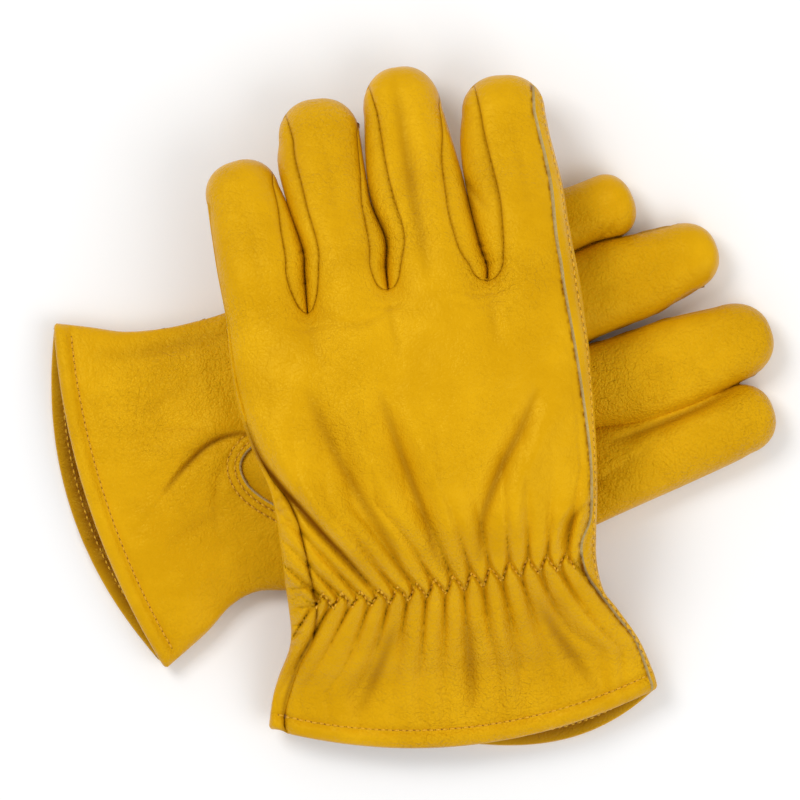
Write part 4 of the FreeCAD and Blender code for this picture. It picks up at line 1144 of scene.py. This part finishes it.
def leather(name, base, deep, light):
    """Full-grain leather: pebbled grain, fine wrinkles, slightly uneven dye, and painted shade laid into
    its folds.
    """
    n = Nodes(name)
    patches = n.noise(34, 5, 0.6)
    pebbles = n.cells(1150, n.warped(300, 0.0014))
    coarse = n.cells(560, n.warped(150, 0.003))
    wrinkles = n.noise(210)
    cracks = n.ramp(n.cells(300, n.warped(140, 0.005), "DISTANCE_TO_EDGE"), 0.0, 0.11)
    strength = n.ramp(n.noise(26, 3, 0.5), 0.38, 0.68, 0.2, 1.0)
    colour = n.mix(n.ramp(patches, 0.36, 0.66), tuple(c * 0.93 for c in base), light)
    colour = n.mix(n.math("MULTIPLY", n.ramp(pebbles, 0.45, 0.85, 0, 0.16), strength), colour, deep)
    # Painted shade: the colour darkened towards the darker grain colour by the painted shade attribute
    painted_shade = n.add("ShaderNodeAttribute", attribute_name="painted_shade").outputs["Fac"]
    colour = n.mix(n.ramp(painted_shade, 0.02, 0.9, 0.0, 0.92), colour, deep)
    relief = n.bump(wrinkles, 0.0008, 0.7)
    for height, distance, share in ((cracks, 0.00015, 0.8), (n.ramp(coarse, 0.0, 0.9, 1, 0), 0.00026, 0.7),
                                    (n.ramp(pebbles, 0.0, 0.8, 1, 0), 0.00024, 1.0)):
        relief = n.bump(n.math("MULTIPLY", height, strength), distance, share, relief)
    return n.surface(Base_Color=colour, Roughness=n.ramp(wrinkles, 0.3, 0.7, 0.30, 0.42), Normal=relief,
                     Specular_IOR_Level=0.38, Specular_Tint=(1.0, 0.78, 0.09))


def suede(name, base, dark):
    """The fuzzy flesh side of the leather."""
    n = Nodes(name)
    nap = n.noise(900, 6, 0.7)
    fuzz = n.math("ADD", nap, n.noise(90, 4, 0.6))
    return n.surface(Base_Color=n.mix(n.ramp(fuzz, 0.75, 1.3), dark, base), Roughness=0.95,
                     Sheen_Weight=0.2, Sheen_Tint=base, Normal=n.bump(nap, 0.0005, 0.8))


def yarn(name, base, dark, scale=1400):
    """Twisted thread or woven yarn."""
    n = Nodes(name)
    twist = n.noise(scale, 3, 0.6, (1, 1, 2.5))
    return n.surface(Base_Color=n.mix(n.ramp(twist, 0.35, 0.65), dark, base), Roughness=0.62,
                     Sheen_Weight=0.15, Sheen_Tint=base, Normal=n.bump(twist, 0.0002, 0.7))


# ---- the pair -------------------------------------------------------------------------------------
def build_glove(hand, shape, strokes, from_hem):
    """Every piece of one glove, each replacing its CAD node; from_hem leads from the hem to its origin."""
    low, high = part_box(f"{hand}_hem_thread")
    at = [(a + b) / 2 / MM + offset for a, b, offset in zip(low, high, from_hem)]
    glove = Glove(shape, at, strokes)
    outer = leather(f"{hand}_grain", *GRAIN)
    inner = suede(f"{hand}_suede", *FLESH)
    edge = suede(f"{hand}_cut_edge", *CUT_EDGE)
    twine = yarn(f"{hand}_twine", *TWINE)
    hole_shade = suede(f"{hand}_needle_hole_shade", *NEEDLE_HOLE_SHADE)
    webbing = yarn(f"{hand}_webbing", *WEBBING, 800)

    def keep(piece, node, slot):
        """Names a piece after the CAD node that it replaces, and has it move with the glove."""
        piece.name = node + "_skin"
        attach(piece, f"{hand}_glove")
        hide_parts(node)

    sheets = {}
    for side in ("back", "palm"):
        lines = seam_lines(glove, side)
        sheets[side] = zip(*[dress(glove, side, block, lines) for block in panel(glove, side)])
    back = mesh_object("back", glove, *sheets["back"], [outer, inner, edge])
    blocks, painted_shades = sheets["palm"]
    blocks = [snapped(b)[:, ::-1] * FACING["palm"] for b in blocks]
    painted_shades = [c[:, ::-1] for c in painted_shades]
    added = laps(glove, seam_lines(glove, "back"))
    share_edge(blocks[0], -1, added[0][0], 0)
    share_edge(blocks[-1], 0, added[1][0], -1)
    added.append(thumb_rim(glove))
    slots = [0] * len(blocks) + [0, 0, 2, 2]
    palm = mesh_object("palm", glove, blocks + [b for b, _ in added], painted_shades + [c for _, c in added],
                       [outer, inner, edge], slots, in_thumb_hole)
    pouch, deep = thumb_sheet(glove)
    thumb = mesh_object("thumb", glove, [pouch], [deep], [outer, inner, edge])
    for piece, node, slot in ((back, "back_panel", "back_leather"), (palm, "palm_panel", "palm_leather"),
                              (thumb, "thumb", "thumb_leather")):
        thicken(piece)
        keep(piece, f"{hand}_{node}", slot)
    for gap in range(3):
        blocks, painted_shades = fourchette(glove, gap)
        strip = mesh_object("strip", glove, blocks, painted_shades, [outer, inner, edge])
        thicken(strip, FOURCHETTE_LEATHER)
        thin_out(strip, [Vector(glove.place(block[-1, FOURCHETTE_COLUMNS // 2])) for block in blocks])
        keep(strip, f"{hand}_fourchette_{FINGERS[gap]}_{FINGERS[gap + 1]}", "fourchette_leather")
    keep(band(glove, webbing), f"{hand}_wrist_elastic", "wrist_elastic")
    sew(glove, hand, Skin(glove, [back, palm]), [twine, hole_shade], keep)


# ---- floor, light, camera -------------------------------------------------------------------------
def studio():
    """A white floor and world, a soft key light from the upper left and a fill from the lower right."""
    scene = bpy.context.scene
    floor = bpy.data.meshes.new("floor")
    floor.from_pydata([(-3, -3, 0), (3, -3, 0), (3, 3, 0), (-3, 3, 0)], [], [(0, 1, 2, 3)])
    ground = bpy.data.objects.new("floor", floor)
    scene.collection.objects.link(ground)
    n = Nodes("paper")
    paper = n.mix(n.noise(6, 2), (0.95, 0.95, 0.95), (0.97, 0.97, 0.97))
    floor.materials.append(n.surface(Base_Color=paper, Roughness=0.9))
    scene.world = bpy.data.worlds.new("studio")
    scene.world.use_nodes = True
    air = scene.world.node_tree.nodes["Background"]
    air.inputs["Color"].default_value = (1, 1, 1, 1)
    air.inputs["Strength"].default_value = 0.6
    for name, spot, size, power in LIGHTS:
        light = bpy.data.lights.new(name, "AREA")
        light.size, light.energy = size, power
        lamp = bpy.data.objects.new(name, light)
        lamp.location = spot
        lamp.rotation_euler = (-Vector(spot)).to_track_quat("-Z", "Y").to_euler()
        scene.collection.objects.link(lamp)


def camera():
    """Straight above, with a long lens that sees FRAME_WIDTH at the height of GLOVES_MIDDLE."""
    lens = bpy.data.cameras.new("camera")
    lens.lens = lens.sensor_width * (CAMERA_PLACE[2] - GLOVES_MIDDLE) / FRAME_WIDTH
    lens.clip_end = 20
    eye = bpy.data.objects.new("camera", lens)
    eye.location = CAMERA_PLACE
    bpy.context.scene.collection.objects.link(eye)
    bpy.context.scene.camera = eye


studio()
camera()
bpy.context.scene.view_settings.view_transform = "Standard"
build_glove("left", LEFT, {"back": LEFT_BACK_FOLDS}, (0.94, -5.45))
build_glove("right", RIGHT, {"palm": RIGHT_PALM_FOLDS}, (-7.62, -2.27))
